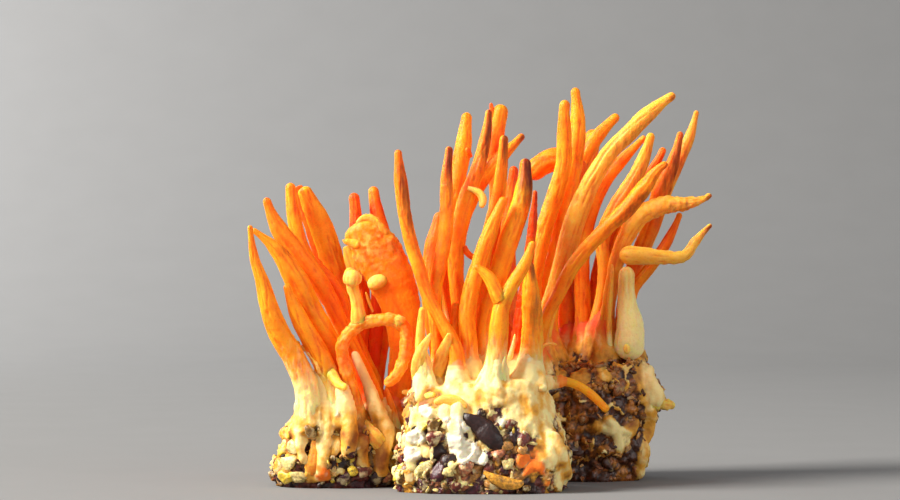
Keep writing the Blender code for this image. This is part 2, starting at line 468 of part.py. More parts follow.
def smooth_path(points, step):
    """Even samples of a smooth curve through points, about step apart, from first to last."""
    knots = np.array(points, dtype=float)
    chords = np.linalg.norm(np.diff(knots[:, :2], axis=0), axis=1)
    along = np.concatenate(([0.0], np.cumsum(chords)))
    slopes = np.gradient(knots, along, axis=0)
    at = np.linspace(0, along[-1], max(FEWEST_STEPS, round(along[-1] / step)) + 1)
    first = np.clip(np.searchsorted(along, at, side="right") - 1, 0, len(along) - 2)
    span = (along[first + 1] - along[first])[:, None]
    u = (at - along[first])[:, None] / span
    start = (1 + 2 * u) * (1 - u) ** 2 * knots[first] + u * (1 - u) ** 2 * span * slopes[first]
    finish = u ** 2 * (3 - 2 * u) * knots[first + 1] + u ** 2 * (u - 1) * span * slopes[first + 1]
    return start + finish


def along_sight(x, y, z):
    """The place at depth y that lies on the line of sight of (x, z) read at the plane y = 0."""
    scale = 1 + y / EYE_DISTANCE
    return EYE_X + (x - EYE_X) * scale, y, EYE_Z - CUT_HEIGHT + (z - EYE_Z) * scale


class Path:
    """A stalk's sampled centre line, with its half width and half depth at each sample."""

    def __init__(self, stalk, lump, turn):
        samples = smooth_path(stalk.points, SPREAD_STEP)
        self.stalk = stalk
        self.x = samples[:, 0]
        self.z = samples[:, 1]
        self.wide = samples[:, 2] / 2
        self.deep = self.wide * stalk.roundness
        share = np.linspace(0, 1, len(self.x))
        front, back = lump.sections[-1][3:]
        outwards = (np.mean(stalk.depth) - (front + back) / 2) / ((back - front) / 2)
        lean = FAN_OUT * outwards * (self.z - self.z[0])
        bow = BOW * math.sin(turn) * np.sin(math.pi * share)
        self.rank = stalk.depth[0] + (stalk.depth[1] - stalk.depth[0]) * share
        self.planned = self.rank + lean + bow
        self.y = self.planned.copy()

    def start_level_with(self, host):
        """Move the whole plan in depth so that the root is level with the stalk that it grows from."""
        self.planned = self.planned + host.y[self.nearest_to_root(host)] - self.planned[0]
        self.y = self.planned.copy()

    def hold_root(self, host):
        """Keep the root level with the stalk that it grows from."""
        self.y[:HELD_SAMPLES] += host.y[self.nearest_to_root(host)] - self.y[0]

    def nearest_to_root(self, host):
        """The sample of another path that shows nearest to this one's root."""
        return np.argmin(np.hypot(host.x - self.x[0], host.z - self.z[0]))

    def ease(self):
        """Even out how far the samples have moved from the planned depth."""
        moved = self.y - self.planned
        padded = np.concatenate((moved[:1], moved, moved[-1:]))
        self.y = self.planned + (padded[:-2] + 2 * padded[1:-1] + padded[2:]) / 4

    def centres(self):
        """The samples as points of the bunch."""
        x, y, z = along_sight(self.x, self.y, self.z)
        return np.column_stack((x, y, z))

    def fine(self):
        """Centres, half widths and half depths from tip to root, at the finer step for seating."""
        rows = np.column_stack((self.centres(), self.wide, self.deep))[::-1]
        spots = np.linspace(0, len(rows) - 1, round((len(rows) - 1) * SPREAD_STEP / PATH_STEP) + 1)
        rows = np.column_stack([np.interp(spots, np.arange(len(rows)), column) for column in rows.T])
        return [Vector(row[:3]) for row in rows], list(rows[:, 3]), list(rows[:, 4])


def near_pairs(paths):
    """Samples of unrelated stalks that could touch, as indices of the one behind and the one in front."""
    owner = np.concatenate([np.full(len(path.x), i) for i, path in enumerate(paths)])
    rank = np.concatenate([path.rank for path in paths]) + owner * TIE_BREAK
    wide = np.concatenate([path.wide for path in paths])
    x = np.concatenate([path.x for path in paths])
    z = np.concatenate([path.z for path in paths])
    names = [path.stalk.name for path in paths]
    host = np.array([names.index(path.stalk.host) if path.stalk.host in names else -1 for path in paths])
    behind, front = np.nonzero(rank[:, None] > rank)
    across = np.hypot(x[behind] - x[front], z[behind] - z[front])
    close = across < wide[behind] + wide[front] + NEARBY
    related = owner[behind] == owner[front]
    related |= host[owner[behind]] == owner[front]
    related |= host[owner[front]] == owner[behind]
    keep = close & ~related
    return behind[keep], front[keep]


def spread_in_depth(paths):
    """Move the stalks along the line of sight until neighbours no longer touch."""
    by_name = {path.stalk.name: path for path in paths}
    for path in paths:
        if path.stalk.host in by_name:
            path.start_level_with(by_name[path.stalk.host])
    behind, front = near_pairs(paths)
    wide = np.concatenate([path.wide for path in paths])
    deep = np.concatenate([path.deep for path in paths])
    reach_wide = wide[behind] + wide[front] + NEIGHBOUR_GAP
    reach_deep = deep[behind] + deep[front] + NEIGHBOUR_GAP
    for _ in range(SPREAD_ROUNDS):
        centres = np.vstack([path.centres() for path in paths])
        apart = centres[behind] - centres[front]
        across = np.hypot(apart[:, 0], apart[:, 2])
        needed = reach_deep * np.sqrt(np.clip(1 - (across / reach_wide) ** 2, 0, None))
        short = np.clip(needed - apart[:, 1], 0, None)
        back = np.zeros(len(wide))
        forward = np.zeros(len(wide))
        np.maximum.at(back, behind, short)
        np.maximum.at(forward, front, short)
        move = SPREAD_SHARE * (back - forward)
        first = 0
        for path in paths:
            path.y = path.y + move[first:first + len(path.x)]
            path.ease()
            first += len(path.x)
            if path.stalk.host in by_name:
                path.hold_root(by_name[path.stalk.host])


def ring_points(centre, tangent, wide, deep, sides):
    """A ring around the centre line: its wide axis lies in the plane of the front view."""
    side = tangent.cross(Vector((0, 1, 0))).normalized()
    inwards = side.cross(tangent).normalized()
    turns = [2 * math.pi * k / sides for k in range(sides)]
    return [centre + side * wide * math.cos(turn) + inwards * deep * math.sin(turn) for turn in turns]


def extended_root(path):
    """The line from the tip to the root and on beyond it, so that it surely meets its host."""
    centres, wide, deep = path.fine()
    onward = (centres[-1] - centres[-3]).normalized()
    extra = int(ROOT_REACH / PATH_STEP)
    root = centres[-1]
    centres += [root + onward * PATH_STEP * (i + 1) for i in range(extra)]
    return centres, wide + [wide[-1]] * extra, deep + [deep[-1]] * extra


def tangent_at(centres, i):
    """The direction from the root to the tip at sample i of centres that run from the tip."""
    return (centres[max(i - 1, 0)] - centres[min(i + 1, len(centres) - 1)]).normalized()


def last_clear_sample(centres, wide, deep, sides, tree):
    """The last sample from the tip whose ring is clear of the host."""
    for i in range(2, len(centres)):
        ring = ring_points(centres[i], tangent_at(centres, i), wide[i], deep[i], sides)
        if min(tree.find_nearest(point)[3] for point in ring + [centres[i]]) < ROOT_CLEARANCE:
            return i - 1
    return len(centres) - 1


def drop_to_host(points, direction, tree):
    """Slide points on in a direction to a small gap above the host, none much further than the others."""
    drops = []
    for point in points:
        _, normal, _, distance = tree.ray_cast(point, direction, ROOT_REACH)
        slant = max(STEEPEST, abs(normal.dot(direction))) if normal else 1.0
        drops.append(max(0.0, distance - ROOT_GAP / slant) if normal else math.inf)
    limit = min(drops) + FOOT_SLOPE if min(drops) < math.inf else 0.0
    return [point + direction * min(drop, limit) for point, drop in zip(points, drops)]


def lift_clear(foot, root, down, tree):
    """Raise a foot in small steps until the fan that closes it misses its host."""
    count = len(foot)
    fan = [(k, (k + 1) % count, count) for k in range(count)]
    while BVHTree.FromPolygons(foot + [root], fan).overlap(tree):
        foot = [point - down * LIFT_STEP for point in foot]
        root = root - down * LIFT_STEP
    return foot, root


def dome_rings(end, onward, tangent, wide, deep, sides):
    """The rings of a rounded end, from the widest on, before the point at which the end closes."""
    spots = [(end - onward * deep * setback, share) for setback, share in DOME]
    return [ring_points(spot, tangent, wide * share, deep * share, sides) for spot, share in spots]


def body_rings(centres, wide, deep, sides, last, ring_step):
    """Rings about evenly spaced from sample last up to where the tip starts to round off."""
    first = math.ceil(deep[0] / PATH_STEP)
    count = max(FEWEST_RINGS, round((last - first) * PATH_STEP / ring_step))
    picks = [round(last + (first - last) * i / count) for i in range(count)]
    return [ring_points(centres[i], tangent_at(centres, i), wide[i], deep[i], sides) for i in picks]


def grown_rings(path, sides, tree):
    """The rings of a stalk that grows from its host, and the point that closes its foot."""
    centres, wide, deep = extended_root(path)
    last = last_clear_sample(centres, wide, deep, sides, tree)
    rings = body_rings(centres, wide, deep, sides, last, path.stalk.ring_step)
    down = -tangent_at(centres, last)
    *foot, root = drop_to_host(rings[0] + [centres[last]], down, tree)
    rings[0], root = lift_clear(foot, root, down, tree)
    return rings, root


def resting_rings(path, sides):
    """The rings of a stalk that only rests on its host, and the point that closes its lower end."""
    centres, wide, deep = path.fine()
    last = len(centres) - 1 - math.ceil(deep[-1] / PATH_STEP)
    tangent = tangent_at(centres, len(centres) - 2)
    rings = dome_rings(centres[-1], -tangent, tangent, wide[-1], deep[-1], sides)[1:]
    rings += body_rings(centres, wide, deep, sides, last, path.stalk.ring_step)
    return rings, centres[-1]


def add_stalk(path, tree):
    """One stalk, from its foot to its rounded tip."""
    stalk = path.stalk
    sides = SLIM_SIDES if max(path.wide) * 2 < SLIM_WIDTH else ROUND_SIDES
    rings, root = resting_rings(path, sides) if stalk.rests else grown_rings(path, sides, tree)
    centres, wide, deep = path.fine()
    tangent = tangent_at(centres, 1)
    rings += dome_rings(centres[0], tangent, tangent, wide[0], deep[0], sides)
    return add_object(stalk.name, rings, root, centres[0], stalk.colour, FLESH_ROUGHNESS)


def recentre(things):
    """Put the origin under the middle of the whole bunch's box."""
    corners = np.array([vertex.co for thing in things for vertex in thing.data.vertices])
    middle = (corners.min(axis=0) + corners.max(axis=0)) / 2
    for thing in things:
        for vertex in thing.data.vertices:
            vertex.co.x -= middle[0]
            vertex.co.y -= middle[1]
        thing.data.update()


def plan_paths():
    """A path for every stalk, each bowed a little differently from the one before."""
    groups = zip(lumps(), (middle_stalks(), left_stalks(), right_stalks()))
    pairs = [(stalk, lump) for lump, stalks in groups for stalk in stalks]
    return [Path(stalk, lump, BOW_TURN * i) for i, (stalk, lump) in enumerate(pairs)]


def main():
    """Build the lumps, spread the stalks in depth and seat each one on its host."""
    clear_scene()
    things = {lump.name: add_lump(lump) for lump in lumps()}
    paths = plan_paths()
    spread_in_depth(paths)
    for path in paths:
        host = things[path.stalk.host]
        things[path.stalk.name] = add_stalk(path, surface_tree(host))
    recentre(list(things.values()))


main()
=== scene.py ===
"""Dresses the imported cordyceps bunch: skins on its stalks, crusts on its lumps, grains, sprigs and a stage.

Every stalk takes its line and its thickness from its solid in the frame. Sizes are in millimetres.
A place written (x, z) is read from the front on the plane y = READING_DEPTH, as the solids' outlines were,
and lies anywhere on the line of sight through it: that line finds it on a lump.
"""

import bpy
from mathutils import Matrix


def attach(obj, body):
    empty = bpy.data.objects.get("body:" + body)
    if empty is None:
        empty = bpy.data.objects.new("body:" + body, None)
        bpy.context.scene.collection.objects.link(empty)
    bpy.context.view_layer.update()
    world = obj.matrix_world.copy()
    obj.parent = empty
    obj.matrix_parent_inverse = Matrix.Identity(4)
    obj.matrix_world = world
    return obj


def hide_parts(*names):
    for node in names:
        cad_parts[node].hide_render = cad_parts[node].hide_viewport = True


bl_info = {
    "name": "Cordyceps bunch",
    "version": (1, 0, 0),
    "blender": (4, 5, 0),
    "location": "View3D > Sidebar > Cordyceps",
    "description": "Skins, crusts and grains for a cordyceps bunch",
    "category": "Add Mesh",
}

import math
from dataclasses import dataclass
from functools import partial

import bmesh
import bpy
import numpy as np
from bpy.props import FloatProperty, FloatVectorProperty, IntProperty, PointerProperty
from mathutils import Matrix, Vector, noise
from mathutils.bvhtree import BVHTree
from mathutils.kdtree import KDTree

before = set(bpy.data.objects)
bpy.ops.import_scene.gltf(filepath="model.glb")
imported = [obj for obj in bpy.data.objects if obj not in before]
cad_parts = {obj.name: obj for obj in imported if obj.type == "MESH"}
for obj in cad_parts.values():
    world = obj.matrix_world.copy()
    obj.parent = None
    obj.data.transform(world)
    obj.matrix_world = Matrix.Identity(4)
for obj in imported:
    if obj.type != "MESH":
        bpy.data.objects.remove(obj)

MM = 0.001

# The eye of the front view, and the plane on which its sizes are true
EYE = Vector((-8.66, -708.63, 59.0))
READING_DEPTH = -8.63
LENS = 112.0
SENSOR = 36.0

# Stalks that point down, and stalks that others grow from
HANGING = ("left_drooping_stub", "middle_loose_curl")
FUSED = {
    "left_hook": ("left_knob_stalk",),
    "left_outer_short_stalk": ("left_drooping_stub",),
    "middle_fork_stem": ("middle_fork_prong",),
}

# How far a skin runs on into what it grows from, and over what length its root flares
ROOT_SINK = 2.2
GUEST_SINK = 1.6
FLARE_REACH = {"left": 20.0, "middle": 9.0, "right": 15.0}
GUEST_REACH = 4.0
GUEST_FLARE = 0.3
# From ring to ring of a skin, rings in a rounded end, and the least half width
SPINE_STEP = 0.41
DOME_RINGS = 7
LEAST_HALF = 0.25
# How far round a rounded end goes, as a share of a quarter turn, how long it is against half the thickness
# there, and the least length of a tip's
DOME_TURN = 0.97
TIP_LENGTH = 1.2
ROOT_LENGTH = 1.1
LEAST_TIP = 0.5
# The fewest points round a skin, and the length of its faces as a share of their width
LEAST_SIDES = 16
FACE_LENGTH = 0.85
# The way in from the front, and how near the line of sight has to come to what it meets
INWARDS = (0.0, 1.0, 0.0)
MEETS = 1.0
# Flesh thinner than this is a flake or a thread, into which light sinks less deep
THIN_FLESH = 1.3
THIN_GLOW = 0.25

# What sets the patterns of two stalks, a stalk and its guest, two sprigs and two crusts apart
STALK_SEED = 17.3
GUEST_SEED = 5.1
SPRIG_SEED = 7.7
CRUST_SEED = 31.7

# The nodes that recur
MATH = "ShaderNodeMath"
VECTOR = "ShaderNodeVectorMath"
MIX = "ShaderNodeMix"
SPREAD = "ShaderNodeMapRange"
NOISE = "ShaderNodeTexNoise"
BUMP = "ShaderNodeBump"
READ = "GeometryNodeInputNamedAttribute"
STORE = "GeometryNodeStoreNamedAttribute"
MOVE = "GeometryNodeSetPosition"


@dataclass
class Looks:
    """How one stalk looks: mm of pale root, redness, and stains as (mm from the tip, half length, strength).

    Crumbly places are given as the stains are. A round root is one that nothing carries.
    """

    pale: float = 12.0
    red: float = 0.3
    stains: tuple = ()
    furrow: float = 0.1
    pucker: float = 0.03
    yellow: float = 0.0
    crumbs: tuple = ()
    round_root: bool = False
    collar: float = 1.0
    sink: float = ROOT_SINK


LOOKS = {
    "left_outer_stalk": Looks(26, 0.15, ((0, 8, 0.5),), 0.14),
    "left_outer_short_stalk": Looks(18, 0.2, (), 0.14),
    "left_leaning_stalk": Looks(14, 0.2, ((0, 4, 0.45), (9, 4, 0.4)), 0.12),
    "left_slim_tip_stalk": Looks(10, 0.35, ((0, 4, 0.4),), 0.12),
    "left_ridge_stalk": Looks(10, 0.5),
    "left_tall_stalk": Looks(10, 0.12, (), 0.08),
    "left_folded_blade": Looks(10, 0.25, (), 0.16),
    "left_back_tip": Looks(10, 0.75),
    "left_back_tall_tip": Looks(10, 0.7),
    "left_fan": Looks(6, 0.4, ((10, 4, 0.35),), 0.06, 0.04, 0.0, ((6, 8, 1.0),)),
    "left_hook": Looks(6, 0.45, (), 0.1, 0.1, 0.0, ((20, 60, 0.6),)),
    "left_knob_stalk": Looks(0, 0.1, (), 0.06, 0.05, 0.5, ((0, 9, 0.5),)),
    "left_drooping_stub": Looks(0, 0.0, (), 0.1, 0.05, 0.6),
    "left_inner_stalk": Looks(6, 0.8),
    "middle_lone_stalk": Looks(9, 0.3, ((12, 14, 0.65), (0, 3, 0.5)), 0.14, 0.06),
    "middle_lone_leg": Looks(14, 0.1, (), 0.12, 0.03, 0.5),
    "middle_left_stalk": Looks(12, 0.4, ((0, 13, 0.85),), 0.12),
    "middle_left_back_stalk": Looks(10, 0.6),
    "middle_back_stalk": Looks(9, 0.35, (), 0.1),
    "middle_tall_stalk": Looks(12, 0.4, ((0, 18, 0.8),), 0.16),
    "middle_flat_top_stalk": Looks(9, 0.55),
    "middle_side_tip_stalk": Looks(9, 0.35, ((0, 4, 0.7),), 0.1),
    "middle_upright_stalk": Looks(12, 0.2, ((0, 10, 0.7),), 0.1),
    "middle_inner_stalk": Looks(14, 0.12, (), 0.12),
    "middle_brown_tip_stalk": Looks(15, 0.15, ((1, 13, 0.9),), 0.12),
    "middle_wrinkled_stalk": Looks(10, 0.9, ((0, 16, 0.6),), 0.25, 0.22),
    "middle_fork_stem": Looks(16, 0.15, ((0, 2, 0.4),), 0.12),
    "middle_fork_prong": Looks(0, 0.25, ((0, 2, 0.5),), 0.1),
    "middle_thick_stalk": Looks(14, 0.15, ((0, 6, 0.7), (12, 8, 0.4)), 0.24, 0.1),
    "middle_short_stalk": Looks(11, 0.3),
    "middle_back_right_stalk": Looks(8, 0.8, ((0, 4, 0.3),)),
    "middle_loose_curl": Looks(7, 0.15, ((0, 3, 0.25),), 0.06),
    "right_tallest_twin": Looks(5, 0.2, ((0, 4, 0.3),), 0.12),
    "right_tallest_stalk": Looks(5, 0.1, ((0, 5, 0.3), (16, 10, 0.3)), 0.14),
    "right_arch": Looks(5, 0.6, (), 0.08),
    "right_curved_stalk": Looks(5, 0.3, (), 0.1),
    "right_back_hump": Looks(5, 0.6, (), 0.08),
    "right_long_stalk": Looks(5, 0.1, ((0, 3, 0.6), (15, 13, 0.45)), 0.16, 0.05, 0.35),
    "right_upper_stalk": Looks(5, 0.3, ((8, 12, 0.45),), 0.14, 0.08, 0.15),
    "right_upper_thin_stalk": Looks(5, 0.45, (), 0.1),
    "right_front_stalk": Looks(5, 0.3, ((0, 3, 0.5), (12, 12, 0.5)), 0.16, 0.05),
    "right_back_tip": Looks(5, 0.7, (), 0.1),
    "right_brown_stalk": Looks(5, 0.5, ((6, 16, 0.65),), 0.16, 0.08),
    "right_far_stalk": Looks(5, 0.3, ((0, 4, 0.3), (12, 9, 0.4)), 0.12, 0.04, 0.2),
    "right_level_stalk": Looks(5, 0.25, ((0, 3, 0.7), (10, 12, 0.35)), 0.12, 0.08, 0.3, ((8, 10, 0.7),)),
    "right_slim_stalk": Looks(5, 0.4),
    "right_pale_stem": Looks(44, 0.0, (), 0.12, 0.04, 0.5, (), True, 0.0, 1.4),
    "right_level_club": Looks(0, 0.1, ((0, 4, 0.7),), 0.1, 0.05, 0.45, ((12, 8, 0.4),), True, 0.0, 0.0),
    "right_side_stalk": Looks(5, 0.45, ((0, 5, 0.35),), 0.1),
}


@dataclass
class Sprig:
    """A small piece on a host: its (x, z, width) points, and how proud of the host its root and its tip lie.

    A kind makes it a husk or a flake of grain instead of flesh.
    """

    name: str
    host: str
    points: list
    proud: tuple
    flat: float
    looks: Looks
    kind: str = ""


# The colours of grain, as sRGB
GRAIN_KINDS = {
    "husk": "2A0F0C", "olive": "7A5418", "red_brown": "6E2A1C", "purple": "4A1620", "dark": "30120C",
    "tan": "C48A44", "tan_pink": "B8714C", "gold": "D9972E", "pale": "D8C078", "yellow": "E8C23C",
    # The right lump's browns: partly its grain's own colour, partly painted shade for the shade that lies over
    # that lump
    "bark": "8E4E1A", "shaded_dark_brown": "4A220E", "umber": "AE6C24",
}


def linear(hex_colour):
    """An sRGB hex colour as linear red, green, blue and alpha."""
    channels = [int(hex_colour[i:i + 2], 16) / 255 for i in (0, 2, 4)]
    return (*[c / 12.92 if c <= 0.04045 else ((c + 0.055) / 1.055) ** 2.4 for c in channels], 1.0)


def feed(node, inputs):
    """Set a node's sockets, by name or in their order, to values, or link them to what feeds them.

    A node feeds by its first output that is in use.
    """
    for key, value in inputs.items() if isinstance(inputs, dict) else enumerate(inputs):
        if isinstance(value, bpy.types.Node):
            value = next(output for output in value.outputs if output.enabled)
        if isinstance(value, bpy.types.NodeSocket):
            node.id_data.links.new(value, node.inputs[key])
        else:
            node.inputs[key].default_value = value


def add_node(tree, kind, inputs=(), **settings):
    """Add a node: settings are its properties, inputs what its sockets are fed."""
    node = tree.nodes.new(kind)
    for key, value in settings.items():
        setattr(node, key, value)
    feed(node, inputs)
    return node


def new_material(name):
    """An empty node material, its Principled shader, its Object coordinates and what adds nodes to it."""
    material = bpy.data.materials.new(name)
    material.use_nodes = True
    add = partial(add_node, material.node_tree)
    shader = material.node_tree.nodes["Principled BSDF"]
    return material, shader, add("ShaderNodeTexCoord").outputs["Object"], add


def flesh_material(name="cordyceps_flesh", glow=1.0):
    """Fresh cordyceps flesh: damp, waxy and translucent, orange from carotene, cream where it grew in the dark.

    The light sinks into it, so thin tips and shaded sides glow red-orange. Its skin is finely pimpled by the
    fruiting bodies, each about 0.7 mm across, and dusted yellow where it is rough. Its redness comes in clouds
    7 mm wide and mottles of 1.6 mm, and its fibres, 0.9 mm apart, run up the stalk.
    """
    material, shader, place, add = new_material(name)
    flesh = bpy.context.scene.cordyceps_flesh
    read = {key: add("ShaderNodeAttribute", attribute_name=key).outputs["Fac"]
            for key in ("red", "yellow", "pale", "stain", "crease", "rough")}
    upright = add("ShaderNodeMapping", {"Vector": place, "Scale": (1.0, 1.0, 0.15)})
    clouds, mottle, fibre = (
        add(NOISE, {"Vector": where, "Scale": 1 / (size * MM), "Detail": detail})
        for where, size, detail in ((place, 7.0, 3.0), (place, 1.6, 4.0), (upright, 0.9, 3.0)))
    pimple = add("ShaderNodeTexVoronoi", {"Vector": place, "Scale": 1 / (0.7 * MM)})
    tone = add(MATH, (clouds, 1.5, -1.0), operation="MULTIPLY_ADD")
    tone = add(MATH, (mottle, 0.5, tone), operation="MULTIPLY_ADD")
    redness = add(MATH, (read["red"], tone), operation="ADD", use_clamp=True)
    gold = add(MATH, (mottle, read["yellow"]), operation="MULTIPLY")
    gold = add(MATH, (gold, 1.8), operation="MULTIPLY", use_clamp=True)
    dust = add(SPREAD, {"Value": mottle, "From Min": 0.42, "From Max": 0.6, "To Max": 0.7})
    dust = add(MATH, (dust, read["rough"]), operation="MULTIPLY", use_clamp=True)
    # Painted shade: the creases of the furrows are painted a deeper red
    crease_shade = add(MATH, (read["crease"], 0.45), operation="MULTIPLY")
    ragged = add(MATH, (fibre, 0.9, -0.45), operation="MULTIPLY_ADD")
    # The browning follows the stain, which lies only on the flank turned from the key light: stain, and painted
    # shade there
    paleness, browning = (
        add(SPREAD, {"Value": add(MATH, (read[key], ragged), operation="ADD"),
                     "From Min": low, "From Max": high}, interpolation_type="SMOOTHSTEP")
        for key, low, high in (("pale", 0.1, 0.85), ("stain", 0.15, 0.95)))
    colour = flesh.light_colour
    for share, over in ((redness, flesh.deep_colour), (gold, linear("FFD064")), (dust, linear("FFC060")),
                        (crease_shade, linear("D8400A")), (paleness, flesh.root_colour),
                        (browning, flesh.stain_colour)):
        colour = add(MIX, {"Factor": share, "A": colour, "B": over}, data_type="RGBA")
    speck = add(SPREAD, {"Value": pimple, "From Min": 0.1, "From Max": 0.5, "To Min": 0.94, "To Max": 1.03})
    rough = add(MATH, (mottle, fibre), operation="ADD")
    rough = add(MATH, (pimple, rough), operation="ADD")
    feed(shader, {
        "Base Color": add(VECTOR, {0: colour, "Scale": speck}, operation="SCALE"),
        "Normal": add(BUMP, {"Strength": 0.5, "Distance": 0.14 * MM, "Height": rough}),
        "Roughness": 0.5, "IOR": 1.4, "Specular IOR Level": 0.3, "Subsurface Weight": 0.75,
        "Subsurface Radius": (1.0, 0.24, 0.05), "Subsurface Scale": flesh.glow_depth * glow})
    return material


def thin_flesh_material():
    """The same flesh where it is only a flake or a thread: light sinks less deep into it."""
    return flesh_material("thin_cordyceps_flesh", THIN_GLOW)


def crust_material():
    """Mycelium felt over cooked grain: matte, white where young, cream where older, amber where it has dried.

    Where it is torn off, the wet grain under it shows in its own browns, with painted shade in its fine hollows,
    darkest in the chinks between.
    """
    material, shader, place, add = new_material("mycelium_felt")
    flesh = bpy.context.scene.cordyceps_flesh
    read = {key: add("ShaderNodeAttribute", attribute_name=key).outputs["Fac"]
            for key in ("felt", "white", "amber", "painted_chink_shade", "climb", "glow", "pale", "red")}
    tint = add("ShaderNodeAttribute", attribute_name="tint").outputs["Color"]
    mottle, fine = (add(NOISE, {"Vector": place, "Scale": 1 / (size * MM), "Detail": detail})
                    for size, detail in ((3.0, 5.0), (0.7, 4.0)))
    # Painted shade and highlight: the bare grain is darker in the hollows of the fine bumps and lighter on their
    # tops
    shade = add(SPREAD, {"Value": fine, "From Min": 0.3, "From Max": 0.7, "To Min": 0.45, "To Max": 1.5})
    bare = add(VECTOR, {0: tint, "Scale": shade}, operation="SCALE")
    age = add(MATH, (mottle, 2.2, -1.1), operation="MULTIPLY_ADD")
    age = add(MATH, (age, read["amber"]), operation="ADD")
    golden = add(SPREAD, {"Value": age, "From Max": 0.6})
    dried = add(SPREAD, {"Value": age, "From Min": 0.6, "From Max": 1.5})
    redness = add(MATH, (mottle, read["red"]), operation="ADD")
    paleness = add(MATH, (mottle, 0.6, read["pale"]), operation="MULTIPLY_ADD")
    torn = add(MATH, (fine, 0.7, -0.35), operation="MULTIPLY_ADD")
    torn = add(MATH, (torn, read["felt"]), operation="ADD")
    paleness, torn = (add(SPREAD, {"Value": value, "From Min": low, "From Max": high},
                          interpolation_type="SMOOTHSTEP")
                      for value, low, high in ((paleness, 0.35, 1.0), (torn, 0.35, 0.65)))
    made = {}
    for name, share, under, over in (
            ("cream", golden, linear("FBE29A"), linear("E6A432")),
            ("felt", dried, "cream", linear("8E4A0C")),
            ("flesh", redness, tuple(flesh.light_colour), tuple(flesh.deep_colour)),
            ("stalk", paleness, "flesh", tuple(flesh.root_colour)),
            ("rooted", read["climb"], "felt", "stalk"),
            # Painted light: bright orange laid on the glow patches, as if the felt were lit through
            ("lit", read["glow"], "rooted", linear("FF7A0C")),
            ("covered", torn, bare, "lit"),
            ("fresh", read["white"], "covered", linear("ECE2C8")),
            # Painted shade: near black in the chinks between the bare grains
            ("chink_shaded", read["painted_chink_shade"], "fresh", linear("2A0E06"))):
        made[name] = add(MIX, {"Factor": share, "A": made.get(under, under), "B": made.get(over, over)},
                         data_type="RGBA")
    feed(shader, {
        "Base Color": made["chink_shaded"],
        "Normal": add(BUMP, {"Strength": 0.7, "Distance": 0.25 * MM, "Height": fine}),
        "Roughness": add(SPREAD, {"Value": torn, "To Min": 0.32, "To Max": 0.66}),
        "Subsurface Weight": 0.35, "Subsurface Radius": (1.0, 0.55, 0.2), "Subsurface Scale": 1.5 * MM})
    return material


def grain_material():
    """Cooked grain: wet and shiny, each its own brown, with painted shade in its wrinkles and a film of
    mycelium.
    """
    material, shader, place, add = new_material("cooked_grain")
    tint = add("ShaderNodeAttribute", attribute_name="tint").outputs["Color"]
    cover = add("ShaderNodeAttribute", attribute_name="film").outputs["Fac"]
    cloud, fine = (add(NOISE, {"Vector": place, "Scale": 1 / (size * MM), "Detail": detail})
                   for size, detail in ((1.8, 5.0), (0.6, 3.0)))
    film = add(SPREAD, {"Value": cloud, "From Min": 0.5, "From Max": 0.62})
    film = add(MATH, (film, cover), operation="MULTIPLY")
    # Painted shade and highlight: darker in the hollows of the fine bumps, lighter on their tops
    shade = add(SPREAD, {"Value": fine, "From Min": 0.3, "From Max": 0.68, "To Min": 0.4, "To Max": 1.35})
    toned = add(VECTOR, {0: tint, "Scale": shade}, operation="SCALE")
    feed(shader, {
        "Base Color": add(MIX, {"Factor": film, "A": toned, "B": linear("E9D49C")}, data_type="RGBA"),
        "Normal": add(BUMP, {"Strength": 0.7, "Distance": 0.2 * MM, "Height": fine}),
        "Roughness": 0.42, "Subsurface Weight": 0.2, "Subsurface Radius": (1.0, 0.4, 0.15),
        "Subsurface Scale": 0.8 * MM})
    return material


def stage_material():
    """Seamless studio paper: matte, pale neutral grey."""
    material, shader, place, add = new_material("studio_paper")
    pulp = add(NOISE, {"Vector": place, "Scale": 40.0, "Detail": 3.0})
    feed(shader, {"Base Color": add(MIX, {"Factor": pulp, "A": linear("757575"), "B": linear("797979")},
                                    data_type="RGBA"), "Roughness": 0.9})
    return material


def material_for(name, maker):
    """The material of that name, made the first time that it is asked for."""
    return bpy.data.materials.get(name) or maker()


def merged_shell(node):
    """A frame node's mesh with its doubled points merged, as a bmesh."""
    shell = bmesh.new()
    shell.from_mesh(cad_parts[node].data)
    bmesh.ops.remove_doubles(shell, verts=shell.verts, dist=0.002 * MM)
    shell.verts.ensure_lookup_table()
    return shell


def layers_from(vertex, total):
    """The points around a vertex, layer by layer, each one edge further away."""
    seen = {vertex}
    layers = [[vertex]]
    while len(seen) < total:
        ring = []
        for point in layers[-1]:
            for edge in point.link_edges:
                other = edge.other_vert(point)
                if other not in seen:
                    seen.add(other)
                    ring.append(other)
        layers.append(ring)
    return layers


def rings_of(node):
    """The rings of a stalk's solid from its root to its tip, as arrays of points in mm."""
    shell = merged_shell(node)
    for vertex in shell.verts:
        layers = layers_from(vertex, len(shell.verts))
        if len(layers[-1]) == 1 and len({len(layer) for layer in layers[1:-1]}) == 1:
            break
    else:
        raise RuntimeError(node + " isn't a tube with a point at each end")
    rings = [np.array([point.co for point in layer]) / MM for layer in layers]
    shell.free()
    rises = rings[-1][0][2] > rings[0][0][2]
    if rises == (node in HANGING):
        rings.reverse()
    return rings


